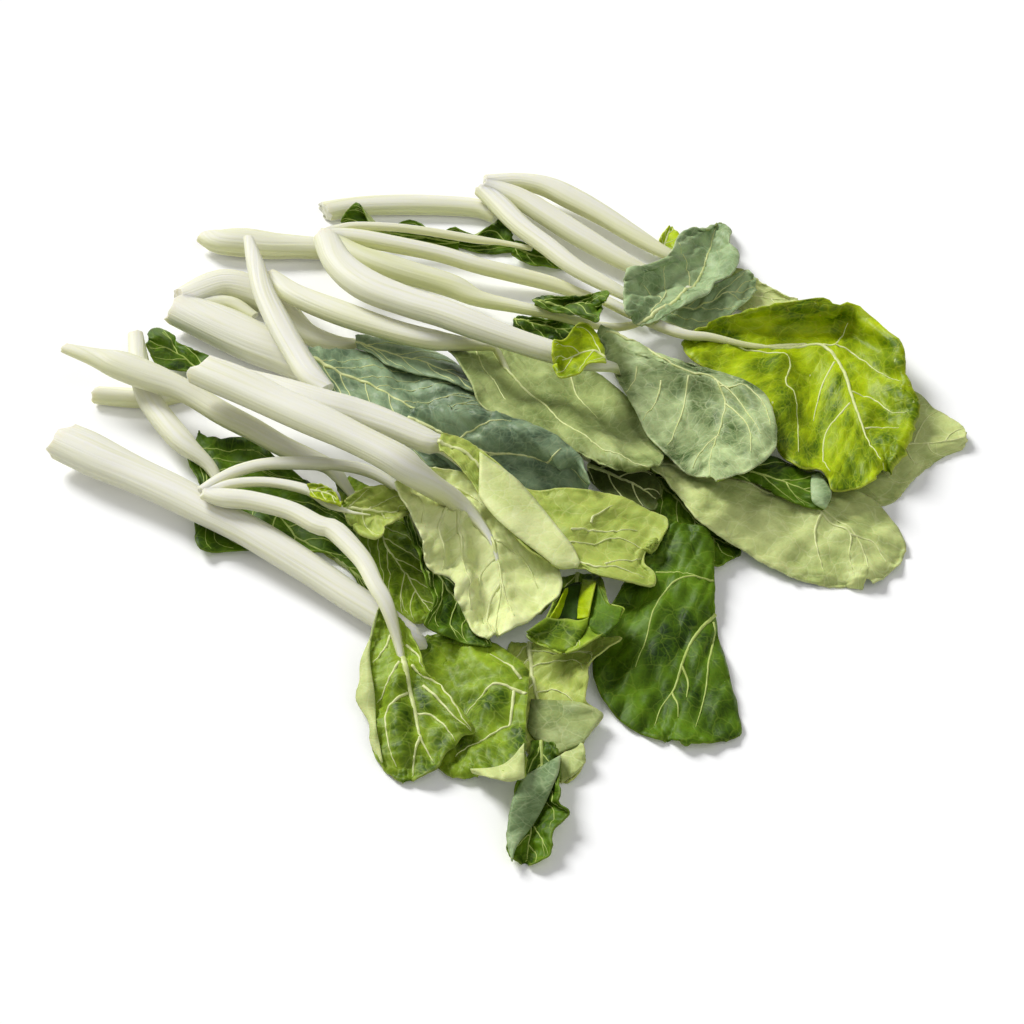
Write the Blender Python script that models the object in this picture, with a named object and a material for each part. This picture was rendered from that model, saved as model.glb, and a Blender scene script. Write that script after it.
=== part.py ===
"""A loose pile of long-stemmed leafy greens, lying on a table.

Every leaf is a thick pale stalk that runs up the back of a thin green blade. The leaves lie over each other,
so each one is laid on those that are under it, from the lowest leaf to the highest.
"""

import math

import bmesh
import bpy
import numpy as np
from mathutils import Vector

# Lengths here are in millimetres. The mesh is written in metres.
MM = 0.001

# The leaves are planned from a point in front of the pile and above it. A planned point is the place on the
# table that lies behind the leaf as seen from there, so a leaf keeps its outline however high it lies.
EYE_BACK = 995.9
EYE_HIGH = 835.6

BLADE_THICKNESS = 0.9
BLADE_LENGTH_STEPS = 9
BLADE_SIDE_STEPS = 3
SMALL_LENGTH_STEPS = 6
SMALL_SIDE_STEPS = 2
STALK_SIDES = 8
STALK_STEP = 17.0
STALK_FLATNESS = 0.62
STALK_TRIM = 0.93
REST_GAP = 1.1
LEAST_GAP = 0.55
UNDER_STALK_GAP = 0.4
TABLE_SNAP = 0.15
BASE_CLUSTER = 42.0
BASE_STATIONS = 2
BASE_PULL = 3.0
HELD_UP = {"top_head_stalks": 12.0}

# The height field that records how high the pile is, behind each planned point.
FIELD_STEP = 1.0
FIELD_LOW = -280.0
FIELD_CELLS = (580, 600)
SAMPLES = 10

# Weight of stalks and blades against their stiffness. More weight lets them sag further between supports.
STALK_WEIGHT = 0.004
BLADE_WEIGHT = 0.012
SAG_ROUNDS = 400

# Each stalk: planned points along its middle, with its width there.
STALKS = {
    "stub": [(-197, 86, 11), (-183, 84, 12), (-168, 83, 11), (-154, 88, 10)],
    "flat_leaf": [(-183, 134, 8), (-178, 107, 11), (-172, 85, 13), (-163, 67, 13), (-151, 48, 12),
                  (-139, 33, 9), (-127, 9, 7), (-110, -2, 6), (-99, -14, 5)],
    "broad_1": [(-163, 154, 22), (-143, 141, 27), (-125, 127, 25), (-110, 115, 20), (-94, 102, 15),
                (-79, 98, 10), (-66, 92, 6)],
    "broad_2": [(-162, 161, 20), (-144, 174, 24), (-128, 168, 20), (-114, 155, 16), (-101, 136, 13),
                (-86, 127, 11), (-74, 127, 6)],
    "broad_heart": [(-160, 158, 12), (-140, 160, 10), (-126, 149, 6)],
    "pointed": [(-216, 123, 6), (-201, 116, 11), (-189, 110, 17), (-174, 101, 17), (-155, 89, 14),
                (-136, 72, 14), (-121, 60, 13), (-107, 48, 12), (-93, 38, 11), (-83, 31, 8),
                (-73, 13, 6), (-64, -6, 5), (-55, -21, 4)],
    "under_right": [(-6, 71, 6), (22, 58, 7), (45, 48, 8), (68, 36, 7), (86, 27, 6), (104, 21, 4)],
    "under_front": [(22, 52, 6), (45, 31, 7), (63, 12, 7), (76, -9, 5), (78, -33, 4), (75, -59, 4)],
    "back": [(-96, 240, 15), (-84, 244, 14), (-67, 246, 14), (-42, 246, 14), (-18, 243, 13),
             (-7, 235, 10)],
    "brown_end": [(-157, 218, 10), (-148, 213, 17), (-136, 212, 20), (-121, 209, 19), (-108, 208, 17),
                (-94, 206, 15), (-80, 200, 10)],
    "long_thin": [(-93, 222, 7), (-81, 227, 6), (-61, 226, 6), (-42, 222, 6), (-18, 215, 6),
                  (-4, 212, 4), (10, 207, 4)],
    "long_upper": [(-96, 218, 11), (-81, 217, 12), (-61, 211, 12), (-36, 202, 12), (-17, 192, 11),
                   (2, 184, 11), (20, 176, 10), (33, 168, 7), (45, 161, 6)],
    "long_lower": [(-92, 215, 12), (-78, 201, 14), (-58, 189, 16), (-31, 175, 15),
                   (-17, 164, 11), (2, 157, 9), (21, 150, 7), (37, 143, 6), (49, 140, 6), (59, 142, 5),
                   (68, 149, 4), (78, 158, 4), (88, 173, 4)],
    "top_1": [(-14, 260, 13), (-5, 244, 13), (5, 226, 12), (18, 209, 12), (31, 191, 11), (45, 177, 10),
              (57, 166, 8)],
    "top_2": [(-14, 263, 13), (3, 253, 14), (18, 237, 15), (32, 221, 15), (46, 206, 14), (60, 192, 12),
              (70, 184, 8)],
    "top_3": [(-14, 266, 12), (3, 268, 12), (18, 263, 14), (32, 251, 15), (47, 236, 14), (61, 220, 12),
              (73, 207, 9), (82, 199, 7)],
    "bright": [(45, 163, 7), (59, 151, 7), (82, 135, 7), (96, 132, 7), (112, 126, 6), (123, 124, 6),
               (133, 125, 6), (143, 126, 5), (150, 123, 4), (155, 113, 4), (158, 99, 4)],
    "shaded": [(-121, 183, 10), (-107, 167, 14), (-83, 151, 16), (-59, 138, 15), (-40, 130, 14),
               (-26, 127, 12), (-15, 125, 10), (-8, 122, 7), (0, 99, 5), (8, 84, 4), (17, 72, 4)],
    "big": [(-95, 217, 14), (-86, 193, 18), (-71, 174, 20), (-50, 160, 19), (-31, 151, 19),
            (-35, 150, 17), (-16, 140, 17), (2, 129, 16), (19, 120, 15), (36, 112, 12), (48, 108, 10),
            (61, 105, 8), (76, 102, 7), (89, 104, 6), (97, 99, 4), (101, 86, 4), (101, 71, 4),
            (96, 57, 4)],
    "straight": [(-134, 217, 5), (-129, 195, 9), (-123, 170, 12), (-114, 144, 13), (-105, 121, 13),
                 (-96, 101, 13), (-88, 90, 9)],
    "front": [(-207, 50, 23), (-198, 44, 23), (-187, 36, 22), (-172, 26, 20), (-153, 13, 19),
              (-135, -1, 18), (-116, -15, 18), (-98, -31, 17), (-82, -46, 16), (-73, -55, 15),
              (-60, -67, 14), (-48, -79, 13), (-36, -90, 11), (-27, -96, 8), (-21, -110, 5),
              (-16, -129, 4)],
    "arch": [(-141, 15, 6), (-135, 22, 6), (-126, 29, 7), (-114, 34, 7), (-99, 35, 8), (-84, 34, 8),
             (-83, 34, 7), (-70, 31, 7), (-59, 24, 6), (-50, 13, 5), (-44, -6, 4), (-37, -29, 4)],
    "little": [(-138, 14, 5), (-127, 20, 6), (-110, 21, 6), (-92, 15, 6), (-82, 5, 5), (-73, 0, 4),
               (-64, -2, 4)],
    "young": [(-140, 13, 7), (-130, 10, 11), (-118, 8, 11), (-100, 1, 11), (-87, -9, 11),
              (-80, -12, 11), (-72, -23, 10), (-65, -35, 9), (-60, -49, 8), (-55, -61, 8),
              (-51, -77, 7), (-48, -92, 6), (-45, -107, 5), (-42, -120, 4), (-39, -134, 4)],
    "centre": [(-149, 106, 20), (-130, 94, 21), (-111, 80, 20), (-92, 67, 20), (-74, 54, 19),
               (-55, 39, 19), (-46, 29, 18), (-37, 19, 17), (-28, 10, 14), (-20, 1, 10), (-13, -11, 7),
               (-8, -24, 5), (-6, -40, 4), (-6, -55, 4)],
    "folded": [(-128, 99, 13), (-112, 90, 17), (-93, 81, 18), (-75, 73, 18), (-56, 62, 17),
               (-38, 50, 15), (-32, 48, 11), (-23, 36, 7), (-13, 20, 5), (-3, 5, 4), (7, -10, 4)],
}

# Each blade: planned points along its rib and along its two edges, from its base to its tip.
BLADES = {
    "flat_leaf": dict(
        rib=[(-148, 53), (-137, 29), (-126, 11), (-115, 2), (-105, -4), (-96, -16), (-86, -27),
             (-69, -42), (-57, -62)],
        left=[(-153, 48), (-148, 33), (-142, 19), (-143, 5), (-142, -10), (-138, -26), (-120, -27),
              (-103, -25), (-86, -28), (-82, -29), (-74, -35), (-68, -47), (-62, -59), (-56, -66)],
        right=[(-148, 60), (-140, 52), (-130, 53), (-122, 53), (-115, 48), (-108, 38), (-92, 20),
               (-82, 11), (-70, -11), (-61, -35), (-56, -52), (-55, -66)],
    ),
    "tucked_leaf": dict(
        rib=[(-137, 95), (-147, 104), (-158, 115), (-168, 123), (-177, 130)],
        left=[(-135, 101), (-146, 116), (-155, 123), (-162, 128), (-164, 133), (-170, 138),
              (-174, 138), (-177, 132)],
        right=[(-142, 92), (-154, 104), (-161, 105), (-169, 107), (-174, 118), (-177, 128)],
    ),
    "pointed_leaf": dict(
        rib=[(-79, 24), (-69, 5), (-60, -14), (-52, -32), (-44, -49), (-38, -62), (-33, -72)],
        left=[(-82, 24), (-77, 7), (-69, -16), (-62, -36), (-55, -55), (-48, -70), (-41, -75),
              (-33, -74)],
        right=[(-76, 27), (-61, 13), (-48, -3), (-40, -19), (-34, -37), (-28, -55), (-26, -67),
               (-33, -74)],
    ),
    "pale_right_leaf": dict(
        rib=[(59, 41), (77, 31), (97, 24), (117, 14), (137, 1), (151, -16), (156, -33), (156, -50)],
        left=[(62, 36), (69, 25), (76, 10), (84, -6), (99, -23), (111, -35), (126, -46), (139, -51),
              (155, -51)],
        right=[(64, 45), (87, 45), (114, 39), (137, 30), (154, 17), (166, 5), (173, -13), (175, -25),
               (171, -35), (164, -44), (155, -51)],
    ),
    "deep_leaf": dict(
        rib=[(62, 30), (71, 15), (79, 0), (87, -13), (95, -22), (103, -27)],
        left=[(60, 22), (63, 7), (66, -8), (75, -20), (83, -31), (90, -37), (97, -33), (103, -28)],
        right=[(64, 36), (73, 32), (84, 22), (95, 8), (104, -5), (108, -17), (104, -26)],
    ),
    "gap_leaf": dict(
        rib=[(35, 34), (42, 29), (52, 22), (60, 15), (66, 8)],
        left=[(34, 26), (38, 18), (46, 10), (55, 5), (61, 2), (64, 1), (66, 7)],
        right=[(36, 40), (45, 41), (54, 39), (63, 34), (66, 25), (68, 16), (67, 9)],
    ),
    "dark_front_leaf": dict(
        rib=[(80, -6), (79, -33), (75, -59), (71, -85), (67, -110), (66, -131), (66, -149)],
        left=[(74, -7), (64, -19), (52, -43), (43, -63), (37, -82), (34, -101), (36, -116), (42, -131),
              (53, -143), (66, -149)],
        right=[(85, -7), (89, -19), (89, -33), (88, -59), (88, -79), (91, -104), (93, -122),
               (94, -143), (83, -148), (73, -149), (66, -149)],
    ),
    "pale_tip_leaf": dict(
        rib=[(153, 45), (171, 45), (185, 48), (198, 50), (212, 54)],
        left=[(152, 34), (153, 17), (164, 6), (169, 5), (175, 10), (182, 21), (191, 32), (201, 41),
              (208, 45), (212, 54)],
        right=[(159, 59), (170, 80), (185, 90), (193, 87), (199, 75), (209, 65), (212, 56)],
    ),
    "yellow_leaf": dict(
        rib=[(7, -85), (9, -110), (12, -131), (16, -151), (20, -172)],
        left=[(0, -85), (-4, -103), (-3, -122), (2, -140), (9, -159), (20, -172)],
        right=[(16, -86), (31, -85), (47, -83), (40, -91), (33, -99), (32, -110), (31, -123),
               (37, -129), (37, -134), (32, -141), (29, -149), (29, -159), (26, -167), (20, -172)],
    ),
    "dark_tip_leaf": dict(
        rib=[(12, -146), (12, -163), (11, -178), (8, -195), (5, -216)],
        left=[(8, -146), (5, -168), (2, -170), (0, -183), (-2, -198), (-1, -211), (5, -216)],
        right=[(17, -146), (20, -156), (20, -163), (19, -170), (20, -176), (19, -182), (23, -188),
               (17, -197), (16, -206), (14, -211), (10, -214), (5, -216)],
    ),
    "curled_leaf": dict(
        rib=[(29, -41), (27, -57), (25, -72), (23, -83), (22, -94)],
        left=[(22, -44), (18, -60), (13, -75), (6, -82), (11, -88), (22, -95)],
        right=[(36, -43), (40, -47), (42, -61), (45, -63), (49, -65), (47, -71), (44, -77), (37, -83),
               (30, -90), (22, -95)],
    ),
    "rear_leaf": dict(
        rib=[(4, 209), (-12, 214), (-31, 221), (-27, 212), (-47, 218), (-66, 222), (-87, 227)],
        left=[(6, 204), (-12, 202), (-31, 209), (-27, 200), (-46, 210), (-66, 215), (-88, 225)],
        right=[(2, 216), (0, 221), (-4, 233), (-8, 232), (-13, 226), (-17, 219), (-18, 218),
               (-24, 222), (-30, 227), (-34, 223), (-42, 224), (-48, 231), (-54, 233), (-59, 229),
               (-66, 227), (-73, 230), (-79, 248), (-85, 241), (-88, 228)],
    ),
    "far_leaf": dict(
        rib=[(103, 170), (115, 166), (127, 163), (142, 162)],
        left=[(104, 163), (114, 153), (127, 153), (142, 160)],
        right=[(104, 176), (113, 190), (126, 176), (135, 167), (142, 163)],
    ),
    "crinkled_leaf": dict(
        rib=[(63, 148), (82, 153), (100, 163), (122, 175)],
        left=[(65, 140), (87, 138), (99, 144), (112, 156), (122, 173)],
        right=[(65, 156), (88, 170), (106, 180), (118, 188), (122, 178)],
    ),
    "small_tip": dict(
        rib=[(75, 199), (77, 209), (79, 218), (81, 227)],
        left=[(71, 201), (74, 211), (76, 219), (81, 228)],
        right=[(80, 199), (83, 209), (85, 219), (81, 227)],
    ),
    "mid_dark_leaf": dict(
        rib=[(-100, 117), (-85, 104), (-71, 96), (-57, 84), (-45, 74), (-29, 67), (-17, 62), (-1, 58)],
        left=[(-100, 115), (-88, 90), (-77, 70), (-59, 49), (-42, 32), (-35, 30), (-15, 33), (-1, 55)],
        right=[(-101, 123), (-90, 121), (-77, 121), (-65, 116), (-56, 108), (-44, 102), (-30, 97),
               (-15, 85), (-3, 73), (0, 59)],
    ),
    "upper_dark_leaf": dict(
        rib=[(-77, 128), (-63, 121), (-49, 114), (-35, 107), (-23, 98), (-12, 87)],
        left=[(-76, 124), (-67, 118), (-60, 110), (-50, 104), (-39, 100), (-30, 97), (-21, 90),
              (-11, 86)],
        right=[(-77, 131), (-74, 133), (-63, 130), (-51, 126), (-40, 122), (-30, 114), (-23, 106),
               (-15, 96), (-12, 87)],
    ),
    "long_wing": dict(
        rib=[(1, 208), (10, 202), (18, 197), (27, 190)],
        left=[(-1, 202), (8, 194), (18, 191), (27, 188)],
        right=[(1, 214), (8, 211), (18, 202), (27, 191)],
    ),
    "lower_wing": dict(
        rib=[(0, 147), (10, 143), (21, 140), (32, 134)],
        left=[(0, 141), (7, 134), (17, 130), (26, 126), (32, 130)],
        right=[(2, 149), (14, 148), (25, 146), (34, 140), (33, 135)],
    ),
    "rolled_leaf": dict(
        rib=[(99, 34), (112, 27), (126, 20), (136, 14), (144, 10)],
        left=[(97, 26), (111, 20), (120, 12), (128, 6), (136, 2), (140, 2), (144, 9)],
        right=[(104, 42), (120, 39), (127, 34), (135, 28), (141, 28), (144, 20), (144, 10)],
    ),
    "bright_leaf": dict(
        rib=[(83, 134), (100, 129), (112, 126), (123, 124), (133, 125), (142, 126), (149, 124),
             (154, 116), (158, 101), (160, 83), (162, 65), (165, 45), (169, 25)],
        left=[(81, 128), (86, 113), (98, 101), (110, 89), (118, 71), (121, 54), (123, 42), (127, 35),
              (133, 30), (141, 30), (144, 23), (146, 14), (158, 17), (169, 24)],
        right=[(84, 138), (93, 140), (98, 145), (109, 151), (123, 157), (135, 161), (144, 163),
               (149, 165), (156, 164), (159, 158), (164, 160), (171, 158), (176, 149), (183, 138),
               (188, 130), (190, 118), (189, 98), (192, 86), (192, 74), (189, 62), (185, 49),
               (179, 35), (170, 24)],
    ),
    "shaded_leaf": dict(
        rib=[(-20, 130), (-11, 122), (0, 99), (9, 84), (17, 72), (27, 59), (37, 48), (52, 36), (66, 31)],
        left=[(-35, 128), (-27, 115), (-20, 97), (-14, 78), (-2, 69), (9, 63), (22, 50), (35, 39),
              (44, 32), (54, 29), (66, 31)],
        right=[(-16, 138), (4, 126), (23, 115), (42, 102), (56, 82), (65, 59), (70, 41), (66, 31)],
    ),
    "veined_dark_leaf": dict(
        rib=[(-50, 70), (-31, 56), (-12, 43), (1, 42), (17, 36), (28, 32), (36, 17)],
        left=[(-50, 65), (-38, 46), (-19, 23), (-1, 8), (17, 6), (31, 8), (36, 16)],
        right=[(-50, 74), (-41, 76), (-29, 76), (-15, 74), (4, 67), (20, 55), (29, 43), (34, 30),
               (36, 18)],
    ),
    "big_leaf": dict(
        rib=[(39, 136), (57, 120), (76, 109), (88, 98), (95, 82), (97, 63), (94, 45), (90, 24)],
        left=[(39, 130), (44, 120), (50, 99), (57, 78), (63, 56), (72, 41), (81, 28), (90, 23)],
        right=[(41, 144), (54, 131), (67, 120), (85, 111), (109, 99), (120, 86), (123, 71), (123, 52),
               (119, 41), (110, 31), (100, 26), (90, 23)],
    ),
    "big_leaf_lobe": dict(
        rib=[(45, 115), (39, 120), (32, 119), (26, 114), (21, 112)],
        left=[(46, 111), (37, 111), (32, 103), (23, 99), (20, 108)],
        right=[(44, 122), (39, 140), (34, 144), (30, 140), (25, 130), (20, 130), (19, 119), (20, 109)],
    ),
    "upturned_leaf": dict(
        rib=[(59, 143), (68, 150), (78, 159), (88, 173), (96, 192), (100, 209), (105, 229)],
        left=[(57, 146), (55, 153), (55, 169), (56, 184), (60, 191), (66, 192), (75, 197), (81, 206),
              (84, 218), (91, 224), (97, 225), (104, 230)],
        right=[(62, 142), (73, 148), (83, 156), (96, 165), (101, 176), (108, 182), (114, 194),
               (114, 204), (110, 213), (112, 221), (109, 228), (105, 230)],
    ),
    "upper_wing": dict(
        rib=[(10, 160), (21, 160), (31, 158), (39, 157), (45, 160)],
        left=[(10, 158), (21, 153), (31, 150), (38, 146), (42, 144), (44, 155)],
        right=[(9, 162), (18, 166), (31, 166), (40, 168), (43, 170), (47, 171), (48, 168), (46, 161)],
    ),
    "front_leaf": dict(
        rib=[(-37, -82), (-29, -92), (-21, -108), (-16, -126), (-14, -148), (-12, -167)],
        left=[(-39, -87), (-41, -102), (-40, -119), (-37, -140), (-32, -159), (-26, -167), (-20, -168),
              (-16, -165), (-12, -168)],
        right=[(-33, -82), (-23, -84), (-9, -87), (0, -95), (7, -105), (6, -131), (6, -154), (5, -168),
               (-3, -168), (-12, -168)],
    ),
    "arch_leaf": dict(
        rib=[(-52, 16), (-45, -6), (-37, -29), (-30, -49), (-21, -67), (-9, -91)],
        left=[(-53, 13), (-47, -11), (-40, -35), (-37, -50), (-34, -61), (-37, -72), (-37, -77),
              (-29, -83), (-18, -88), (-9, -91)],
        right=[(-49, 16), (-35, -6), (-25, -29), (-19, -55), (-12, -74), (-8, -91)],
    ),
    "little_leaf": dict(
        rib=[(-78, 4), (-69, 0), (-60, -2), (-52, -2), (-46, 1)],
        left=[(-77, 0), (-71, -11), (-67, -18), (-61, -20), (-58, -16), (-57, -10), (-53, -8),
              (-48, -4), (-46, 0)],
        right=[(-77, 7), (-75, 11), (-71, 14), (-65, 18), (-58, 18), (-52, 14), (-49, 8), (-46, 1)],
    ),
    "yellow_scrap": dict(
        rib=[(-92, 15), (-87, 14), (-82, 11), (-77, 5)],
        left=[(-92, 12), (-87, 9), (-82, 6), (-77, 4)],
        right=[(-94, 19), (-89, 20), (-84, 18), (-80, 13), (-77, 6)],
    ),
    "young_leaf": dict(
        rib=[(-55, -56), (-51, -71), (-48, -87), (-46, -102), (-43, -117), (-41, -131), (-40, -145),
             (-40, -158), (-42, -172)],
        left=[(-56, -58), (-58, -66), (-60, -81), (-64, -98), (-64, -110), (-65, -122), (-59, -136),
              (-58, -148), (-54, -159), (-49, -167), (-42, -172)],
        right=[(-53, -58), (-49, -70), (-44, -79), (-41, -87), (-37, -101), (-33, -109), (-27, -118),
               (-20, -130), (-15, -141), (-20, -144), (-23, -149), (-27, -155), (-30, -163),
               (-35, -166), (-42, -172)],
    ),
    "centre_leaf": dict(
        rib=[(-51, 29), (-40, 20), (-31, 12), (-19, 0), (-11, -14), (-7, -32), (-5, -50), (-6, -67),
             (-8, -85)],
        left=[(-54, 24), (-50, 11), (-45, -3), (-40, -19), (-38, -35), (-34, -42), (-29, -44),
              (-25, -49), (-25, -56), (-22, -65), (-19, -74), (-16, -81), (-8, -86)],
        right=[(-44, 33), (-33, 31), (-21, 27), (-9, 7), (2, -10), (13, -24), (21, -40), (21, -54),
               (14, -63), (8, -73), (2, -78), (-5, -82), (-8, -86)],
    ),
    "folded_leaf": dict(
        rib=[(-36, 54), (-21, 40), (-10, 22), (0, 4), (10, -11), (22, -21), (34, -21), (48, -19),
             (64, -30)],
        left=[(-35, 48), (-28, 40), (-23, 31), (-18, 20), (-13, 7), (-4, -8), (5, -23), (15, -33),
              (21, -39), (30, -38), (40, -44), (53, -48), (62, -50), (63, -41), (59, -33), (61, -24),
              (68, -17)],
        right=[(-35, 59), (-23, 53), (-11, 41), (0, 26), (7, 16), (20, 17), (34, 16), (46, 12),
               (59, 3), (68, -2), (70, -6), (69, -15)],
    ),
}

STALK_COLOR = (0.86, 0.87, 0.74)
STALK_ROUGHNESS = 0.35
BLADE_ROUGHNESS = 0.45
DARK_GREEN = (0.035, 0.12, 0.015)
MID_GREEN = (0.12, 0.26, 0.03)
BRIGHT_GREEN = (0.22, 0.42, 0.01)
PALE_GREEN = (0.36, 0.46, 0.17)
GREY_GREEN = (0.20, 0.33, 0.16)
BLADE_COLORS = {
    "pale_right_leaf": PALE_GREEN,
    "pale_tip_leaf": PALE_GREEN,
    "yellow_leaf": PALE_GREEN,
    "centre_leaf": PALE_GREEN,
    "folded_leaf": PALE_GREEN,
    "far_leaf": PALE_GREEN,
    "shaded_leaf": GREY_GREEN,
    "gap_leaf": GREY_GREEN,
    "big_leaf": GREY_GREEN,
    "bright_leaf": BRIGHT_GREEN,
    "big_leaf_lobe": BRIGHT_GREEN,
    "yellow_scrap": BRIGHT_GREEN,
    "small_tip": BRIGHT_GREEN,
    "front_leaf": MID_GREEN,
    "young_leaf": MID_GREEN,
    "curled_leaf": MID_GREEN,
    "pointed_leaf": MID_GREEN,
    "little_leaf": MID_GREEN,
}

# How a leaf is curved: rise of its left and right edges over its rib, and the size and number of waves along
# each edge. The blade's own shape is small when it has few steps.
CURVES = {
    "flat_leaf": (2, 3, 1.0, 3),
    "tucked_leaf": (5, 3, 0.5, 2),
    "pale_right_leaf": (-4, -6, 1.2, 3),
    "dark_front_leaf": (5, -9, 1.5, 3),
    "pale_tip_leaf": (-4, -5, 1.0, 2),
    "yellow_leaf": (3, 7, 2.0, 2),
    "dark_tip_leaf": (9, 6, 1.5, 2),
    "curled_leaf": (9, 12, 1.0, 2),
    "upper_dark_leaf": (-3, -6, 1.0, 3),
    "mid_dark_leaf": (-4, -5, 1.0, 3),
    "shaded_leaf": (-9, -6, 1.0, 2),
    "veined_dark_leaf": (-5, -9, 1.2, 3),
    "bright_leaf": (7, 15, 2.4, 3),
    "big_leaf": (-9, -6, 1.2, 3),
    "big_leaf_lobe": (3, 8, 0.5, 1),
    "upturned_leaf": (13, 5, 2.0, 3),
    "rolled_leaf": (-3, -8, 0.5, 2),
    "front_leaf": (-3, -6, 1.5, 2),
    "young_leaf": (-8, 7, 1.8, 3),
    "little_leaf": (5, 6, 1.5, 2),
    "centre_leaf": (-7, -5, 1.8, 3),
    "folded_leaf": (-6, 4, 1.8, 3),
    "arch_leaf": (5, 3, 2.0, 3),
}
DEFAULT_CURVE = (3, 3, 0.8, 2)
SMALL_BLADES = {
    "tucked_leaf", "far_leaf", "crinkled_leaf", "small_tip", "long_wing", "lower_wing", "upper_wing",
    "big_leaf_lobe", "little_leaf", "yellow_scrap", "rear_leaf", "rolled_leaf", "curled_leaf",
    "pale_tip_leaf", "upper_dark_leaf", "gap_leaf",
}

# The order of the pile, from the table up, as pairs of a stalk and a blade. A blade that its own stalk would
# bend or lift, or that has no stalk in sight, stands alone.
PILE = [
    ("stub", None),
    ("flat_leaf", "flat_leaf"),
    ("broad_2", None),
    ("broad_heart", None),
    ("broad_1", None),
    (None, "tucked_leaf"),
    ("pointed", "pointed_leaf"),
    ("under_front", None),
    ("under_right", None),
    (None, "deep_leaf"),
    (None, "gap_leaf"),
    (None, "dark_front_leaf"),
    (None, "pale_tip_leaf"),
    (None, "pale_right_leaf"),
    (None, "yellow_leaf"),
    (None, "dark_tip_leaf"),
    (None, "curled_leaf"),
    ("back", None),
    (None, "rear_leaf"),
    (None, "far_leaf"),
    (None, "crinkled_leaf"),
    (None, "small_tip"),
    (None, "mid_dark_leaf"),
    (None, "upper_dark_leaf"),
    (None, "long_wing"),
    (None, "lower_wing"),
    ("brown_end", None),
    ("long_thin", None),
    ("long_upper", None),
    ("long_lower", None),
    ("top_3", None),
    ("top_2", None),
    ("top_1", None),
    (None, "rolled_leaf"),
    ("bright", "bright_leaf"),
    ("shaded", "shaded_leaf"),
    (None, "veined_dark_leaf"),
    ("big", "big_leaf"),
    (None, "big_leaf_lobe"),
    (None, "upper_wing"),
    (None, "upturned_leaf"),
    ("straight", None),
    ("front", "front_leaf"),
    ("arch", "arch_leaf"),
    ("little", "little_leaf"),
    (None, "yellow_scrap"),
    ("young", "young_leaf"),
    ("folded", None),
    ("centre", "centre_leaf"),
    (None, "folded_leaf"),
]

# Stalks that grow from one cut base, and so are one piece.
HEADS = {
    "broad_head_stalks": ("broad_1", "broad_2", "broad_heart"),
    "long_head_stalks": ("long_thin", "long_upper", "long_lower"),
    "top_head_stalks": ("top_1", "top_2", "top_3"),
    "small_head_stalks": ("arch", "little", "young"),
}


# How the lines, floors and sags are worked out.
CURVE_STEPS = 12
FAR_BELOW = -1000.0
THINNEST_STALK = 3.0
BETWEEN = (-0.5, -0.25, 0.0, 0.25, 0.5)
FLOOR_SHARES = 9
SAG_SETTLED = 0.002
CLEAR_ROUNDS = 14
CLEAR_ENOUGH = 0.000001
LIFT_MARGIN = 0.02
STALK_REACH = 10.0
RIB_PULL = 3.0
RIB_FINENESS = 8

# How a blade's rows are spaced, and the shape of its edge waves.
END_TRIM = 0.02
EVEN_SHARE = 0.6
LEAST_FULLNESS = 0.05
EDGE_POWER = 1.7
LEFT_TURN = 0.8
RIGHT_TURN = 2.6


def real_place(planned, height):
    """The point at this height on the line of sight to a planned point on the table."""
    share = height / EYE_HIGH
    x = planned[..., 0] * (1.0 - share)
    y = planned[..., 1] - share * (planned[..., 1] + EYE_BACK)
    return np.stack([x, y, height], axis=-1)


def planned_place(points):
    """The planned point behind each real point."""
    share = points[..., 2] / EYE_HIGH
    x = points[..., 0] / (1.0 - share)
    y = (points[..., 1] + share * EYE_BACK) / (1.0 - share)
    return np.stack([x, y], axis=-1)


def smooth_line(points, count, ends=0.0):
    """A round line through the points, read at evenly spaced places along it."""
    points = np.array(points, dtype=float)
    padded = np.vstack([2 * points[0] - points[1], points, 2 * points[-1] - points[-2]])
    pieces = []
    for index in range(len(points) - 1):
        before, start, end, after = padded[index:index + 4]
        for step in np.linspace(0.0, 1.0, CURVE_STEPS, endpoint=False):
            pieces.append(0.5 * (2 * start + (end - before) * step
                                 + (2 * before - 5 * start + 4 * end - after) * step ** 2
                                 + (3 * start - before - 3 * end + after) * step ** 3))
    pieces.append(points[-1])
    line = np.array(pieces)
    lengths = np.r_[0.0, np.cumsum(np.linalg.norm(np.diff(line[:, :2], axis=0), axis=1))]
    wanted = np.asarray(count, dtype=float) if np.ndim(count) else np.linspace(ends, 1.0 - ends, count)
    reached = wanted * lengths[-1]
    return np.stack([np.interp(reached, lengths, line[:, k]) for k in range(line.shape[1])], axis=-1)


class HeightField:
    """How high the pile is behind each planned point, and a copy without the head being laid."""

    def __init__(self):
        self.top = np.full(FIELD_CELLS, -REST_GAP)
        self.below_head = self.top.copy()

    def cells(self, planned):
        index = np.rint((planned - FIELD_LOW) / FIELD_STEP).astype(int)
        return (np.clip(index[..., 0], 0, FIELD_CELLS[0] - 1), np.clip(index[..., 1], 0, FIELD_CELLS[1] - 1))

    def read(self, planned, field=None):
        field = self.top if field is None else field
        return field[self.cells(planned)]

    def add(self, points):
        """Raise the field to these real points and their neighbouring cells."""
        mine = np.full(FIELD_CELLS, FAR_BELOW)
        np.maximum.at(mine, self.cells(planned_place(points)), points[..., 2])
        for axis in (0, 1):
            mine = np.maximum(mine, np.maximum(np.roll(mine, 1, axis), np.roll(mine, -1, axis)))
        self.top = np.maximum(self.top, mine)


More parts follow.
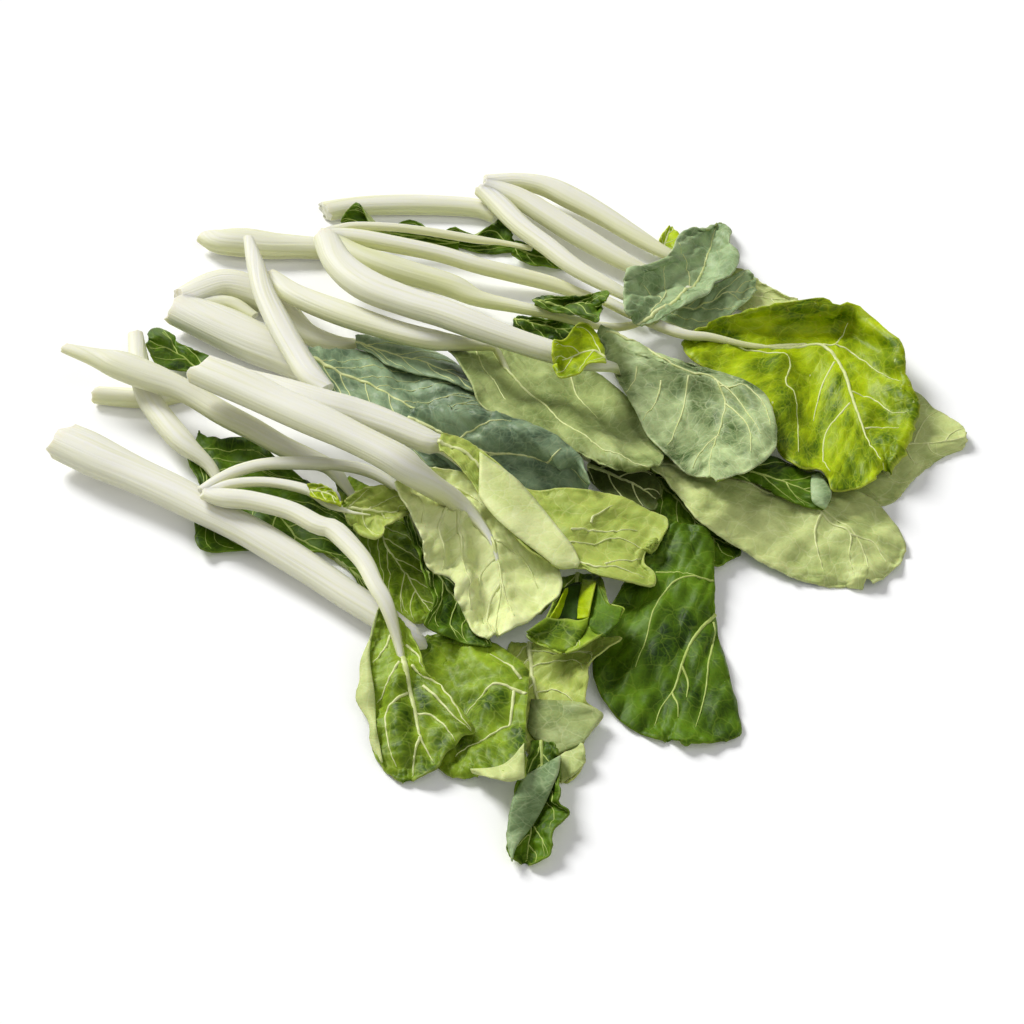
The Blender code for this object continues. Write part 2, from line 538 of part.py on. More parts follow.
def surface_samples(vertices, triangles, fine=SAMPLES):
    """Points all over the triangles, one row for each triangle."""
    shares = [(i / fine, j / fine) for i in range(fine + 1) for j in range(fine + 1 - i)]
    corners = vertices[triangles]
    first, second, third = corners[:, 0], corners[:, 1], corners[:, 2]
    return np.stack([first * (1 - a - b) + second * a + third * b for a, b in shares], axis=1)


def bending(count):
    """The stiffness matrix of a strip of this many points that resists bending."""
    second = np.zeros((max(count - 2, 1), count))
    for row in range(count - 2):
        second[row, row:row + 3] = (1.0, -2.0, 1.0)
    return second.T @ second


def lay_down(stiff, shape, weight, floor, tie=None):
    """Heights of a bendy thing with this rest shape that sags onto the floor under it."""
    count = len(floor)
    system = stiff + np.eye(count) * weight
    load = stiff @ shape + weight * floor
    if tie is not None:
        pull, target = tie
        system = system + np.diag(pull)
        load = load + pull * target
    height = np.maximum(np.linalg.solve(system, load), floor)
    diagonal = np.diag(system)
    for _ in range(SAG_ROUNDS):
        before = height.copy()
        for index in range(count):
            rest = (load[index] - system[index] @ height) / diagonal[index] + height[index]
            height[index] = max(rest, floor[index])
        if np.abs(height - before).max() < SAG_SETTLED:
            break
    return height


def side_ways(line):
    """Level direction across a line on the table, at each of its points."""
    along = np.gradient(line[:, :2], axis=0)
    along /= np.linalg.norm(along, axis=1)[:, None]
    return np.stack([-along[:, 1], along[:, 0]], axis=-1)


def stalk_line(name):
    """Evenly spaced planned points along a stalk, with its half width at each."""
    route = np.array(STALKS[name], dtype=float)
    length = np.linalg.norm(np.diff(route[:, :2], axis=0), axis=1).sum()
    count = max(5, int(round(length / STALK_STEP)) + 1)
    line = smooth_line(route, count)
    return line[:, :2], np.maximum(line[:, 2] * STALK_TRIM, THINNEST_STALK) / 2.0


def stalk_floor(line, half, field, head, extra=0.0):
    """The least height of a stalk's middle at each station."""
    across = side_ways(line)
    thick = half * STALK_FLATNESS
    floor = np.full(len(line), FAR_BELOW)
    base_distance = np.linalg.norm(line - line[0], axis=1)
    steps = np.arange(len(line))
    for shift in BETWEEN:
        at = np.clip(steps + shift, 0, len(line) - 1)
        middle = np.stack([np.interp(at, steps, line[:, k]) for k in (0, 1)], axis=-1)
        for share in np.linspace(-1.0, 1.0, FLOOR_SHARES):
            drop = -thick * math.sqrt(1.0 - share * share)
            planned = middle + across * (half * share)[:, None]
            toward_eye = np.stack([planned[:, 0], planned[:, 1] + EYE_BACK], axis=-1)
            planned = planned + toward_eye * (drop / EYE_HIGH)[:, None]
            high = field.read(planned)
            if head:
                near = base_distance < BASE_CLUSTER
                high = np.where(near, field.read(planned, field.below_head), high)
            floor = np.maximum(floor, high + REST_GAP + extra - drop)
    return floor


def flat_on_table(points):
    """The points with those that nearly touch the table set flat on it."""
    points[:, 2] = np.where(points[:, 2] < TABLE_SNAP, 0.0, points[:, 2])
    return points


def stalk_mesh(line, half, height):
    """Corners and triangles of a stalk: an oval tube with a flat underside, closed at both ends."""
    middle = real_place(line, height)
    along = np.gradient(middle, axis=0)
    along /= np.linalg.norm(along, axis=1)[:, None]
    across = np.cross(along, (0.0, 0.0, 1.0))
    across /= np.linalg.norm(across, axis=1)[:, None]
    upward = np.cross(across, along)
    turns = (np.arange(STALK_SIDES) + 0.5) * 2 * math.pi / STALK_SIDES
    full = 1.0 / math.cos(math.pi / STALK_SIDES)
    wide = half[:, None] * np.cos(turns) * full
    tall = half[:, None] * STALK_FLATNESS * np.sin(turns) * full
    corners = middle[:, None] + across[:, None] * wide[..., None] + upward[:, None] * tall[..., None]
    triangles = []
    for row in range(len(line) - 1):
        for side in range(STALK_SIDES):
            a = row * STALK_SIDES + side
            b = row * STALK_SIDES + (side + 1) % STALK_SIDES
            triangles += [(a, b + STALK_SIDES, b), (a, a + STALK_SIDES, b + STALK_SIDES)]
    last = (len(line) - 1) * STALK_SIDES
    for side in range(1, STALK_SIDES - 1):
        triangles.append((0, side, side + 1))
        triangles.append((last, last + side + 1, last + side))
    points = flat_on_table(corners.reshape(-1, 3))
    return points, np.array(triangles), np.repeat(np.arange(len(line)), STALK_SIDES)


def blade_steps(name):
    if name in SMALL_BLADES:
        return SMALL_LENGTH_STEPS, SMALL_SIDE_STEPS
    return BLADE_LENGTH_STEPS, BLADE_SIDE_STEPS


def blade_plan(name):
    """Planned points of a blade: rows along its rib, columns from its left edge to its right edge."""
    lengthwise, sideways = blade_steps(name)
    plan = BLADES[name]
    even = np.linspace(0.0, 1.0, lengthwise + 1)
    eased = 0.5 - 0.5 * np.cos(math.pi * even)
    rows = END_TRIM + (1.0 - 2.0 * END_TRIM) * (EVEN_SHARE * even + (1.0 - EVEN_SHARE) * eased)
    rib = smooth_line(plan["rib"], rows)
    left = smooth_line(plan["left"], rows)
    right = smooth_line(plan["right"], rows)
    share = np.linspace(0.0, 1.0, sideways + 1)[1:, None, None]
    to_left = rib + (left - rib) * share
    to_right = rib + (right - rib) * share
    grid = np.concatenate([to_left[::-1], rib[None], to_right]).transpose(1, 0, 2)
    return grid, rows, np.linspace(-1.0, 1.0, 2 * sideways + 1)


def blade_shape(name, rows, columns):
    """Rise of the blade over its rib when nothing bends it."""
    left, right, wave, waves = CURVES.get(name, DEFAULT_CURVE)
    full = np.sqrt(np.clip(np.sin(math.pi * rows), LEAST_FULLNESS, 1.0))[:, None]
    edge = np.where(columns < 0, left, right)[None, :]
    turn = np.where(columns < 0, LEFT_TURN, RIGHT_TURN)[None, :]
    ripple = wave * np.sin(2 * math.pi * waves * rows[:, None] + turn)
    return full * (edge * np.abs(columns) ** EDGE_POWER + ripple * np.abs(columns) ** 2)


def blade_floor(grid, field):
    """The least height of each blade point: the pile under the cells around it."""
    count, width = grid.shape[:2]
    floor = np.full((count, width), FAR_BELOW)
    down, across = np.arange(count), np.arange(width)
    for a in BETWEEN:
        for b in BETWEEN:
            at = np.clip(down + a, 0, count - 1)
            low = np.minimum(at.astype(int), count - 2)
            rows = grid[low] + (grid[low + 1] - grid[low]) * (at - low)[:, None, None]
            to = np.clip(across + b, 0, width - 1)
            left = np.minimum(to.astype(int), width - 2)
            points = rows[:, left] + (rows[:, left + 1] - rows[:, left]) * (to - left)[None, :, None]
            floor = np.maximum(floor, field.read(points))
    return floor + REST_GAP + BLADE_THICKNESS / 2


def blade_triangles(count, width):
    """Triangles of a thin blade with this many rows and columns, split alike on both faces."""
    top = []
    for row in range(count - 1):
        for column in range(width - 1):
            a = row * width + column
            b, c, d = a + 1, a + width, a + width + 1
            if column < width // 2:
                top += [(a, c, b), (b, c, d)]
            else:
                top += [(a, d, b), (a, c, d)]
    size = count * width
    bottom = [(c + size, b + size, a + size) for a, b, c in top]
    border = list(range(width))
    border += [row * width + width - 1 for row in range(1, count)]
    border += [(count - 1) * width + column for column in range(width - 2, -1, -1)]
    border += [row * width for row in range(count - 2, 0, -1)]
    rim = []
    for here, there in zip(border, border[1:] + border[:1]):
        rim += [(here, there, there + size), (here, there + size, here + size)]
    return np.array(top + bottom + rim)


def blade_mesh(grid, height):
    """Corners and triangles of a thin blade, and the grid point that each corner belongs to."""
    count, width = height.shape
    middle = real_place(grid, height)
    down = np.gradient(middle, axis=0)
    across = np.gradient(middle, axis=1)
    normal = np.cross(down, across)
    normal /= np.linalg.norm(normal, axis=2)[..., None]
    if normal[..., 2].mean() < 0:
        normal = -normal
    upper = (middle + normal * BLADE_THICKNESS / 2).reshape(-1, 3)
    lower = (middle - normal * BLADE_THICKNESS / 2).reshape(-1, 3)
    points = flat_on_table(np.vstack([upper, lower]))
    triangles = blade_triangles(count, width)
    first = np.cross(middle[1, width // 2] - middle[0, width // 2], middle[0, 1] - middle[0, 0])
    if first @ normal[0, 0] < 0:
        triangles = triangles[:, ::-1]
    return points, triangles, np.tile(np.arange(count * width), 2)


def raise_clear(build, height, field, head=False, base=None):
    """Raise parts of a piece until its faces are clear of the pile under them."""
    for _ in range(CLEAR_ROUNDS):
        points, triangles, owner = build(height)
        samples = surface_samples(points, triangles)
        planned = planned_place(samples)
        high = field.read(planned)
        if head:
            near = np.linalg.norm(planned - base, axis=-1) < BASE_CLUSTER
            high = np.where(near, field.read(planned, field.below_head), high)
        short = (high + LEAST_GAP - samples[..., 2]).max(axis=1)
        lift = np.zeros(height.size)
        for corner in range(3):
            np.maximum.at(lift, owner[triangles[:, corner]], np.maximum(short, 0.0))
        if lift.max() <= CLEAR_ENOUGH:
            break
        lift = lift.reshape(height.shape)
        height = height + lift + LIFT_MARGIN * (lift > 0)
    field.add(surface_samples(*build(height)[:2]))
    return height


def tie_to_stalk(grid, line, height, thick):
    """Pull of the stalk on the blade points under it, and the height that it holds them at."""
    middle = grid.shape[1] // 2
    pull = np.zeros(grid.shape[:2])
    target = np.zeros(grid.shape[:2])
    fine = smooth_line(np.column_stack([line, height - thick]), RIB_FINENESS * len(line))
    for row in range(grid.shape[0]):
        distance = np.linalg.norm(fine[:, :2] - grid[row, middle], axis=1)
        nearest = distance.argmin()
        if distance[nearest] < STALK_REACH:
            pull[row, middle] = RIB_PULL
            target[row, middle] = fine[nearest, 2] - UNDER_STALK_GAP - BLADE_THICKNESS / 2
    return pull.ravel(), target.ravel()


def tie_to_base(count, base_height):
    """Pull of a head's base on the first stations of a stalk, and the height that it holds them at."""
    pull = np.zeros(count)
    pull[:BASE_STATIONS] = BASE_PULL
    return pull, np.full(count, base_height)


def lay_stalk(line, half, floor, hold):
    """Heights of a stalk that sags onto this floor."""
    return lay_down(bending(len(line)), np.zeros(len(line)), STALK_WEIGHT, floor, hold)


def lay_blade(name, field, stalk):
    """Mesh of a blade that sags onto the pile, held at its rib by its stalk if it has one."""
    grid, rows, columns = blade_plan(name)
    tie = tie_to_stalk(grid, *stalk) if stalk else None
    count, width = grid.shape[:2]
    stiff = np.kron(bending(count), np.eye(width)) + np.kron(np.eye(count), bending(width))
    shape = blade_shape(name, rows, columns)
    floor = blade_floor(grid, field)
    lain = lay_down(stiff, shape.ravel(), BLADE_WEIGHT, floor.ravel(), tie).reshape(count, width)
    lain = raise_clear(lambda h: blade_mesh(grid, h), lain, field)
    return blade_mesh(grid, lain)


def lay_leaf(stalk, blade, field, head, base_height):
    """Meshes of one leaf's stalk and blade laid on the pile, and the height of the stalk's base."""
    laid = {}
    holder = None
    if stalk:
        line, half = stalk_line(stalk)
        hold = None if base_height is None else tie_to_base(len(line), base_height)
    if stalk and blade:
        room = BLADE_THICKNESS + UNDER_STALK_GAP
        height = lay_stalk(line, half, stalk_floor(line, half, field, head, room), hold)
        holder = (line, height, half * STALK_FLATNESS)
    if blade:
        laid["blade"] = lay_blade(blade, field, holder)
    if stalk:
        height = lay_stalk(line, half, stalk_floor(line, half, field, head), hold)
        height = raise_clear(lambda h: stalk_mesh(line, half, h), height, field, head, line[0])
        laid["stalk"] = stalk_mesh(line, half, height)
        laid["base_height"] = height[0]
    return laid


def lay_pile():
    """Lay every leaf from the table up. Gives the mesh of each stalk and blade."""
    field = HeightField()
    head_of = {stalk: name for name, stalks in HEADS.items() for stalk in stalks}
    begun = set()
    base_heights = dict(HELD_UP)
    stalks, blades = {}, {}
    for stalk, blade in PILE:
        head = head_of.get(stalk)
        if head and head not in begun:
            field.below_head = field.top.copy()
            begun.add(head)
        laid = lay_leaf(stalk, blade, field, head is not None, base_heights.get(head))
        if head:
            base_heights.setdefault(head, laid["base_height"])
        if stalk:
            stalks[stalk] = laid["stalk"]
        if blade:
            blades[blade] = laid["blade"]
    return stalks, blades


def centre_of(meshes):
    """Middle of the pile's box on the table."""
    points = np.vstack([points for points, _, _ in meshes])
    low, high = points.min(axis=0), points.max(axis=0)
    return np.array([(low[0] + high[0]) / 2, (low[1] + high[1]) / 2, 0.0])


def add_object(name, points, triangles, material):
    mesh = bpy.data.meshes.new(name)
    mesh.from_pydata([Vector(point) * MM for point in points], [], triangles.tolist())
    mesh.materials.append(material)
    mesh.update()
    item = bpy.data.objects.new(name, mesh)
    bpy.context.scene.collection.objects.link(item)
    return item


def add_material(name, color, roughness):
    material = bpy.data.materials.new(name)
    material.use_nodes = True
    surface = material.node_tree.nodes["Principled BSDF"]
    surface.inputs["Base Color"].default_value = (*color, 1.0)
    surface.inputs["Roughness"].default_value = roughness
    surface.inputs["Metallic"].default_value = 0.0
    return material


def join_head(name, parts, material):
    """One solid of the stalks that share a base."""
    group = bpy.data.collections.new(name + "_parts")
    bpy.context.scene.collection.children.link(group)
    first, *others = [add_object(name if not index else f"{name}_{index}", points, triangles, material)
                      for index, (points, triangles, _) in enumerate(parts)]
    for other in others:
        bpy.context.scene.collection.objects.unlink(other)
        group.objects.link(other)
    union = first.modifiers.new("join", "BOOLEAN")
    union.operation = "UNION"
    union.operand_type = "COLLECTION"
    union.collection = group
    union.solver = "EXACT"
    bpy.context.view_layer.update()
    shape = first.evaluated_get(bpy.context.evaluated_depsgraph_get())
    joined = bpy.data.meshes.new_from_object(shape)
    first.modifiers.clear()
    first.data = joined
    for other in others:
        bpy.data.objects.remove(other)
    bpy.data.collections.remove(group)
    whole = bmesh.new()
    whole.from_mesh(joined)
    bmesh.ops.triangulate(whole, faces=whole.faces[:])
    whole.to_mesh(joined)
    whole.free()
    return first


def main():
    for item in list(bpy.data.objects):
        bpy.data.objects.remove(item)
    stalks, blades = lay_pile()
    centre = centre_of(list(stalks.values()) + list(blades.values()))
    for pieces in (stalks, blades):
        for name, (points, triangles, owner) in pieces.items():
            pieces[name] = (points - centre, triangles, owner)
    joined = set()
    for head, names in HEADS.items():
        white = add_material(head, STALK_COLOR, STALK_ROUGHNESS)
        join_head(head, [stalks[name] for name in names], white)
        joined.update(names)
    for name, (points, triangles, _) in stalks.items():
        if name not in joined:
            white = add_material(name + "_stalk", STALK_COLOR, STALK_ROUGHNESS)
            add_object(name + "_stalk", points, triangles, white)
    for name, (points, triangles, _) in blades.items():
        green = add_material(name, BLADE_COLORS.get(name, DARK_GREEN), BLADE_ROUGHNESS)
        add_object(name, points, triangles, green)


main()
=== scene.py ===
"""The loose pile of leafy greens on its white table, finished for a picture.

The pile is laid again from the plan of the solids, so each fine leaf and stalk lies where its solid does.
"""

import math

import bpy
import numpy as np
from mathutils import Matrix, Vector


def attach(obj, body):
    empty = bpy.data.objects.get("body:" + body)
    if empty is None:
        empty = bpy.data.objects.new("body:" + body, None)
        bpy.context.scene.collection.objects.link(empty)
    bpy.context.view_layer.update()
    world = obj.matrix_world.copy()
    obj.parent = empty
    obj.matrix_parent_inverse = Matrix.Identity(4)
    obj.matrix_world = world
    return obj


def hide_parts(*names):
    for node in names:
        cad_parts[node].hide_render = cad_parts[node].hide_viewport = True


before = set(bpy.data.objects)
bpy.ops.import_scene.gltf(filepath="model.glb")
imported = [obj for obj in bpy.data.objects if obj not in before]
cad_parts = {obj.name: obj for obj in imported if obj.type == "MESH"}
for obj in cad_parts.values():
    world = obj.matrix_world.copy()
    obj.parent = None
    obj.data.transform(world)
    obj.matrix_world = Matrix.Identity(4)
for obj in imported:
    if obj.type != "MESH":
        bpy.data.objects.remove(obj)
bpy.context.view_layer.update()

# Lengths here are in millimetres. The mesh is written in metres.
MM = 0.001

# The leaves are planned from a point in front of the pile and above it. A planned point is the place on the
# table that lies behind the leaf as seen from there, so a leaf keeps its outline however high it lies.
EYE_BACK = 995.9
EYE_HIGH = 835.6
LENS = 101.5
SENSOR = 36.0

# Points along a blade and from its rib to its edge, for small blades and for the others: as the pile is
# laid, and as the blade is finished.
LAID_GRIDS = ((7, 2), (10, 3))
FINE_GRIDS = ((48, 14), (72, 20))

BLADE_THICKNESS = 0.9
STALK_SIDES = 8
STALK_STEP = 17.0
STALK_FLATNESS = 0.62
STALK_TRIM = 0.93
THINNEST_STALK = 3.0
CURVE_STEPS = 12
# Share of a blade's planned length left off at each end, and how evenly its rows are spaced.
END_TRIM = 0.02
EVEN_SHARE = 0.6

REST_GAP = 1.1
LEAST_GAP = 0.55
UNDER_STALK_GAP = 0.4
TABLE_SNAP = 0.15
BASE_CLUSTER = 42.0
BASE_STATIONS = 2
BASE_PULL = 3.0
HELD_UP = {"top_head_stalks": 12.0}
# How near a blade point is to a stalk that holds it, how hard it is held, and how finely the stalk is read.
STALK_REACH = 10.0
RIB_PULL = 3.0
RIB_FINENESS = 8

# The height field that records how high the pile is, behind each planned point.
FIELD_STEP = 1.0
FIELD_LOW = -280.0
FIELD_CELLS = (580, 600)
FAR_BELOW = -1e3
SAMPLES = 10
# Where the floor is read between neighbouring points, and at how many places across a stalk.
BETWEEN = (-0.5, -0.25, 0.0, 0.25, 0.5)
FLOOR_SHARES = 9

# Weight of stalks and blades against their stiffness. More weight lets them sag further between supports.
STALK_WEIGHT = 0.004
BLADE_WEIGHT = 0.012
SAG_ROUNDS = 400
SAG_SETTLED = 0.002
CLEAR_ROUNDS = 14
CLEAR_ENOUGH = 1e-6
LIFT_MARGIN = 0.02

# How the rise of a blade's edges grows toward them, its least share at the ends, and where the waves start.
EDGE_POWER = 1.7
LEAST_FULLNESS = 0.05
LEFT_TURN = 0.8
RIGHT_TURN = 2.6

# The finished sheets: thickness, gap to the pile under them, least height over the table.
SHEET_THICKNESS = 0.7
SCENE_GAP = 0.25
TABLE_CLEAR = 0.02
FOLD_ROWS = 36
FOLD_COLUMNS = 11
# How strongly blades are puffed and ruffled, how far from a vein the puff grows, and how calm the ruffle of
# small ones is.
RELIEF = 1.5
PUFF_WIDTH = 4.2
SMALL_CALM = 0.5
# Longest wave of the ruffle, and how much shorter and weaker each next one is.
WAVE_LENGTH = 26.0
WAVE_FINER = 1.45
WAVE_WEAKER = 1.25
# How far a blade's edge curls up and down, and how much finer than the ruffle.
EDGE_CURL = {"folded_leaf": 0.3}
DEFAULT_CURL = 1.5
EDGE_FINENESS = 1.7

# Veins: points along each, gap between side veins, usual widths on pale and on green blades, widths at the
# tips of ribs and of other veins, lift over the sheet, and rise of a vein for its half width.
VEIN_STEPS = 60
SIDE_VEIN_STEPS = 26
FORK_STEPS = 13
SIDE_VEIN_GAP = 13.0
PALE_VEIN = 1.7
GREEN_VEIN = 1.35
RIB_TIP = 0.5
VEIN_TIP = 0.35
VEIN_LIFT = 0.16
PALE_RISE = 0.55
GREEN_RISE = 0.35

# The finished stalks.
STALK_FINE_STEP = 3.5
STALK_FINE_SIDES = 20
THINNEST_FINE_STALK = 2.4
RIB_GREEN = 0.45
# A limit so far off that it never holds.
NO_LIMIT = 99.0
# Length over which a stalk sinks into its own blade, how near the blade has to be, and rounds of smoothing.
USUAL_SINK = (45.0, 4.0, 14)
COVERED_SINK = (7.0, 1.6, 2)
# Stalks whose own blade lies over them.
COVERED = {"big", "front"}
# Where a stalk begins to narrow over its own blade, as a share of the way, and how narrow it gets.
RIB_TAPER = {"centre": (0.35, 0.28), "young": (0.0, 0.22), "big": (0.0, 0.2), "bright": (0.0, 0.2)}
DEFAULT_TAPER = (0.0, 0.25)
# Share of the way over its blade from which a stalk dives under it, and the share that the dive takes.
DIVE_FROM = {"centre": 0.74}
DEFAULT_DIVE = 0.55
DIVE_LENGTH = 0.2

# Each light: the place that it shines from, how wide its disc is, and its strength.
SUNS = {
    "main_light": ((-0.75, 0.85, 0.85), 0.40, 3.20),
    "fill_light": ((0.70, -0.80, 1.30), 0.90, 0.55),
}
ROOM_LIGHT = 0.26
TABLE_HALF = 6.0

# Each stalk: planned points along its middle, with its width there.
STALKS = {
    "stub": [(-197, 86, 11), (-183, 84, 12), (-168, 83, 11), (-154, 88, 10)],
    "flat_leaf": [(-183, 134, 8), (-178, 107, 11), (-172, 85, 13), (-163, 67, 13), (-151, 48, 12),
                  (-139, 33, 9), (-127, 9, 7), (-110, -2, 6), (-99, -14, 5)],
    "broad_1": [(-163, 154, 22), (-143, 141, 27), (-125, 127, 25), (-110, 115, 20), (-94, 102, 15),
                (-79, 98, 10), (-66, 92, 6)],
    "broad_2": [(-162, 161, 20), (-144, 174, 24), (-128, 168, 20), (-114, 155, 16), (-101, 136, 13),
                (-86, 127, 11), (-74, 127, 6)],
    "broad_heart": [(-160, 158, 12), (-140, 160, 10), (-126, 149, 6)],
    "pointed": [(-216, 123, 6), (-201, 116, 11), (-189, 110, 17), (-174, 101, 17), (-155, 89, 14),
                (-136, 72, 14), (-121, 60, 13), (-107, 48, 12), (-93, 38, 11), (-83, 31, 8),
                (-73, 13, 6), (-64, -6, 5), (-55, -21, 4)],
    "under_right": [(-6, 71, 6), (22, 58, 7), (45, 48, 8), (68, 36, 7), (86, 27, 6), (104, 21, 4)],
    "under_front": [(22, 52, 6), (45, 31, 7), (63, 12, 7), (76, -9, 5), (78, -33, 4), (75, -59, 4)],
    "back": [(-96, 240, 15), (-84, 244, 14), (-67, 246, 14), (-42, 246, 14), (-18, 243, 13),
             (-7, 235, 10)],
    "brown_end": [(-157, 218, 10), (-148, 213, 17), (-136, 212, 20), (-121, 209, 19), (-108, 208, 17),
                (-94, 206, 15), (-80, 200, 10)],
    "long_thin": [(-93, 222, 7), (-81, 227, 6), (-61, 226, 6), (-42, 222, 6), (-18, 215, 6),
                  (-4, 212, 4), (10, 207, 4)],
    "long_upper": [(-96, 218, 11), (-81, 217, 12), (-61, 211, 12), (-36, 202, 12), (-17, 192, 11),
                   (2, 184, 11), (20, 176, 10), (33, 168, 7), (45, 161, 6)],
    "long_lower": [(-92, 215, 12), (-78, 201, 14), (-58, 189, 16), (-31, 175, 15),
                   (-17, 164, 11), (2, 157, 9), (21, 150, 7), (37, 143, 6), (49, 140, 6), (59, 142, 5),
                   (68, 149, 4), (78, 158, 4), (88, 173, 4)],
    "top_1": [(-14, 260, 13), (-5, 244, 13), (5, 226, 12), (18, 209, 12), (31, 191, 11), (45, 177, 10),
              (57, 166, 8)],
    "top_2": [(-14, 263, 13), (3, 253, 14), (18, 237, 15), (32, 221, 15), (46, 206, 14), (60, 192, 12),
              (70, 184, 8)],
    "top_3": [(-14, 266, 12), (3, 268, 12), (18, 263, 14), (32, 251, 15), (47, 236, 14), (61, 220, 12),
              (73, 207, 9), (82, 199, 7)],
    "bright": [(45, 163, 7), (59, 151, 7), (82, 135, 7), (96, 132, 7), (112, 126, 6), (123, 124, 6),
               (133, 125, 6), (143, 126, 5), (150, 123, 4), (155, 113, 4), (158, 99, 4)],
    "shaded": [(-121, 183, 10), (-107, 167, 14), (-83, 151, 16), (-59, 138, 15), (-40, 130, 14),
               (-26, 127, 12), (-15, 125, 10), (-8, 122, 7), (0, 99, 5), (8, 84, 4), (17, 72, 4)],
    "big": [(-95, 217, 14), (-86, 193, 18), (-71, 174, 20), (-50, 160, 19), (-33, 151, 18),
            (-16, 140, 17), (2, 129, 16), (19, 120, 15), (36, 112, 12), (48, 108, 10),
            (61, 105, 8), (76, 102, 7), (89, 104, 6), (97, 99, 4), (101, 86, 4), (101, 71, 4),
            (96, 57, 4)],
    "straight": [(-134, 217, 5), (-129, 195, 9), (-123, 170, 12), (-114, 144, 13), (-105, 121, 13),
                 (-96, 101, 13), (-88, 90, 9)],
    "front": [(-207, 50, 23), (-198, 44, 23), (-187, 36, 22), (-172, 26, 20), (-153, 13, 19),
              (-135, -1, 18), (-116, -15, 18), (-98, -31, 17), (-82, -46, 16), (-73, -55, 15),
              (-60, -67, 14), (-48, -79, 13), (-36, -90, 11), (-27, -96, 8), (-21, -110, 5),
              (-16, -129, 4)],
    "arch": [(-141, 15, 6), (-135, 22, 6), (-126, 29, 7), (-114, 34, 7), (-99, 35, 8), (-84, 34, 8),
             (-83, 34, 7), (-70, 31, 7), (-59, 24, 6), (-50, 13, 5), (-44, -6, 4), (-37, -29, 4)],
    "little": [(-138, 14, 5), (-127, 20, 6), (-110, 21, 6), (-92, 15, 6), (-82, 5, 5), (-73, 0, 4),
               (-64, -2, 4)],
    "young": [(-140, 13, 7), (-130, 10, 11), (-118, 8, 11), (-100, 1, 11), (-87, -9, 11),
              (-80, -12, 11), (-72, -23, 10), (-65, -35, 9), (-60, -49, 8), (-55, -61, 8),
              (-51, -77, 7), (-48, -92, 6), (-45, -107, 5), (-42, -120, 4), (-39, -134, 4)],
    "centre": [(-149, 106, 20), (-130, 94, 21), (-111, 80, 20), (-92, 67, 20), (-74, 54, 19),
               (-55, 39, 19), (-46, 29, 18), (-37, 19, 17), (-28, 10, 14), (-20, 1, 10), (-13, -11, 7),
               (-8, -24, 5), (-6, -40, 4), (-6, -55, 4)],
    "folded": [(-128, 99, 13), (-112, 90, 17), (-93, 81, 18), (-75, 73, 18), (-56, 62, 17),
               (-38, 50, 15), (-32, 48, 11), (-23, 36, 7), (-13, 20, 5), (-3, 5, 4), (7, -10, 4)],
}

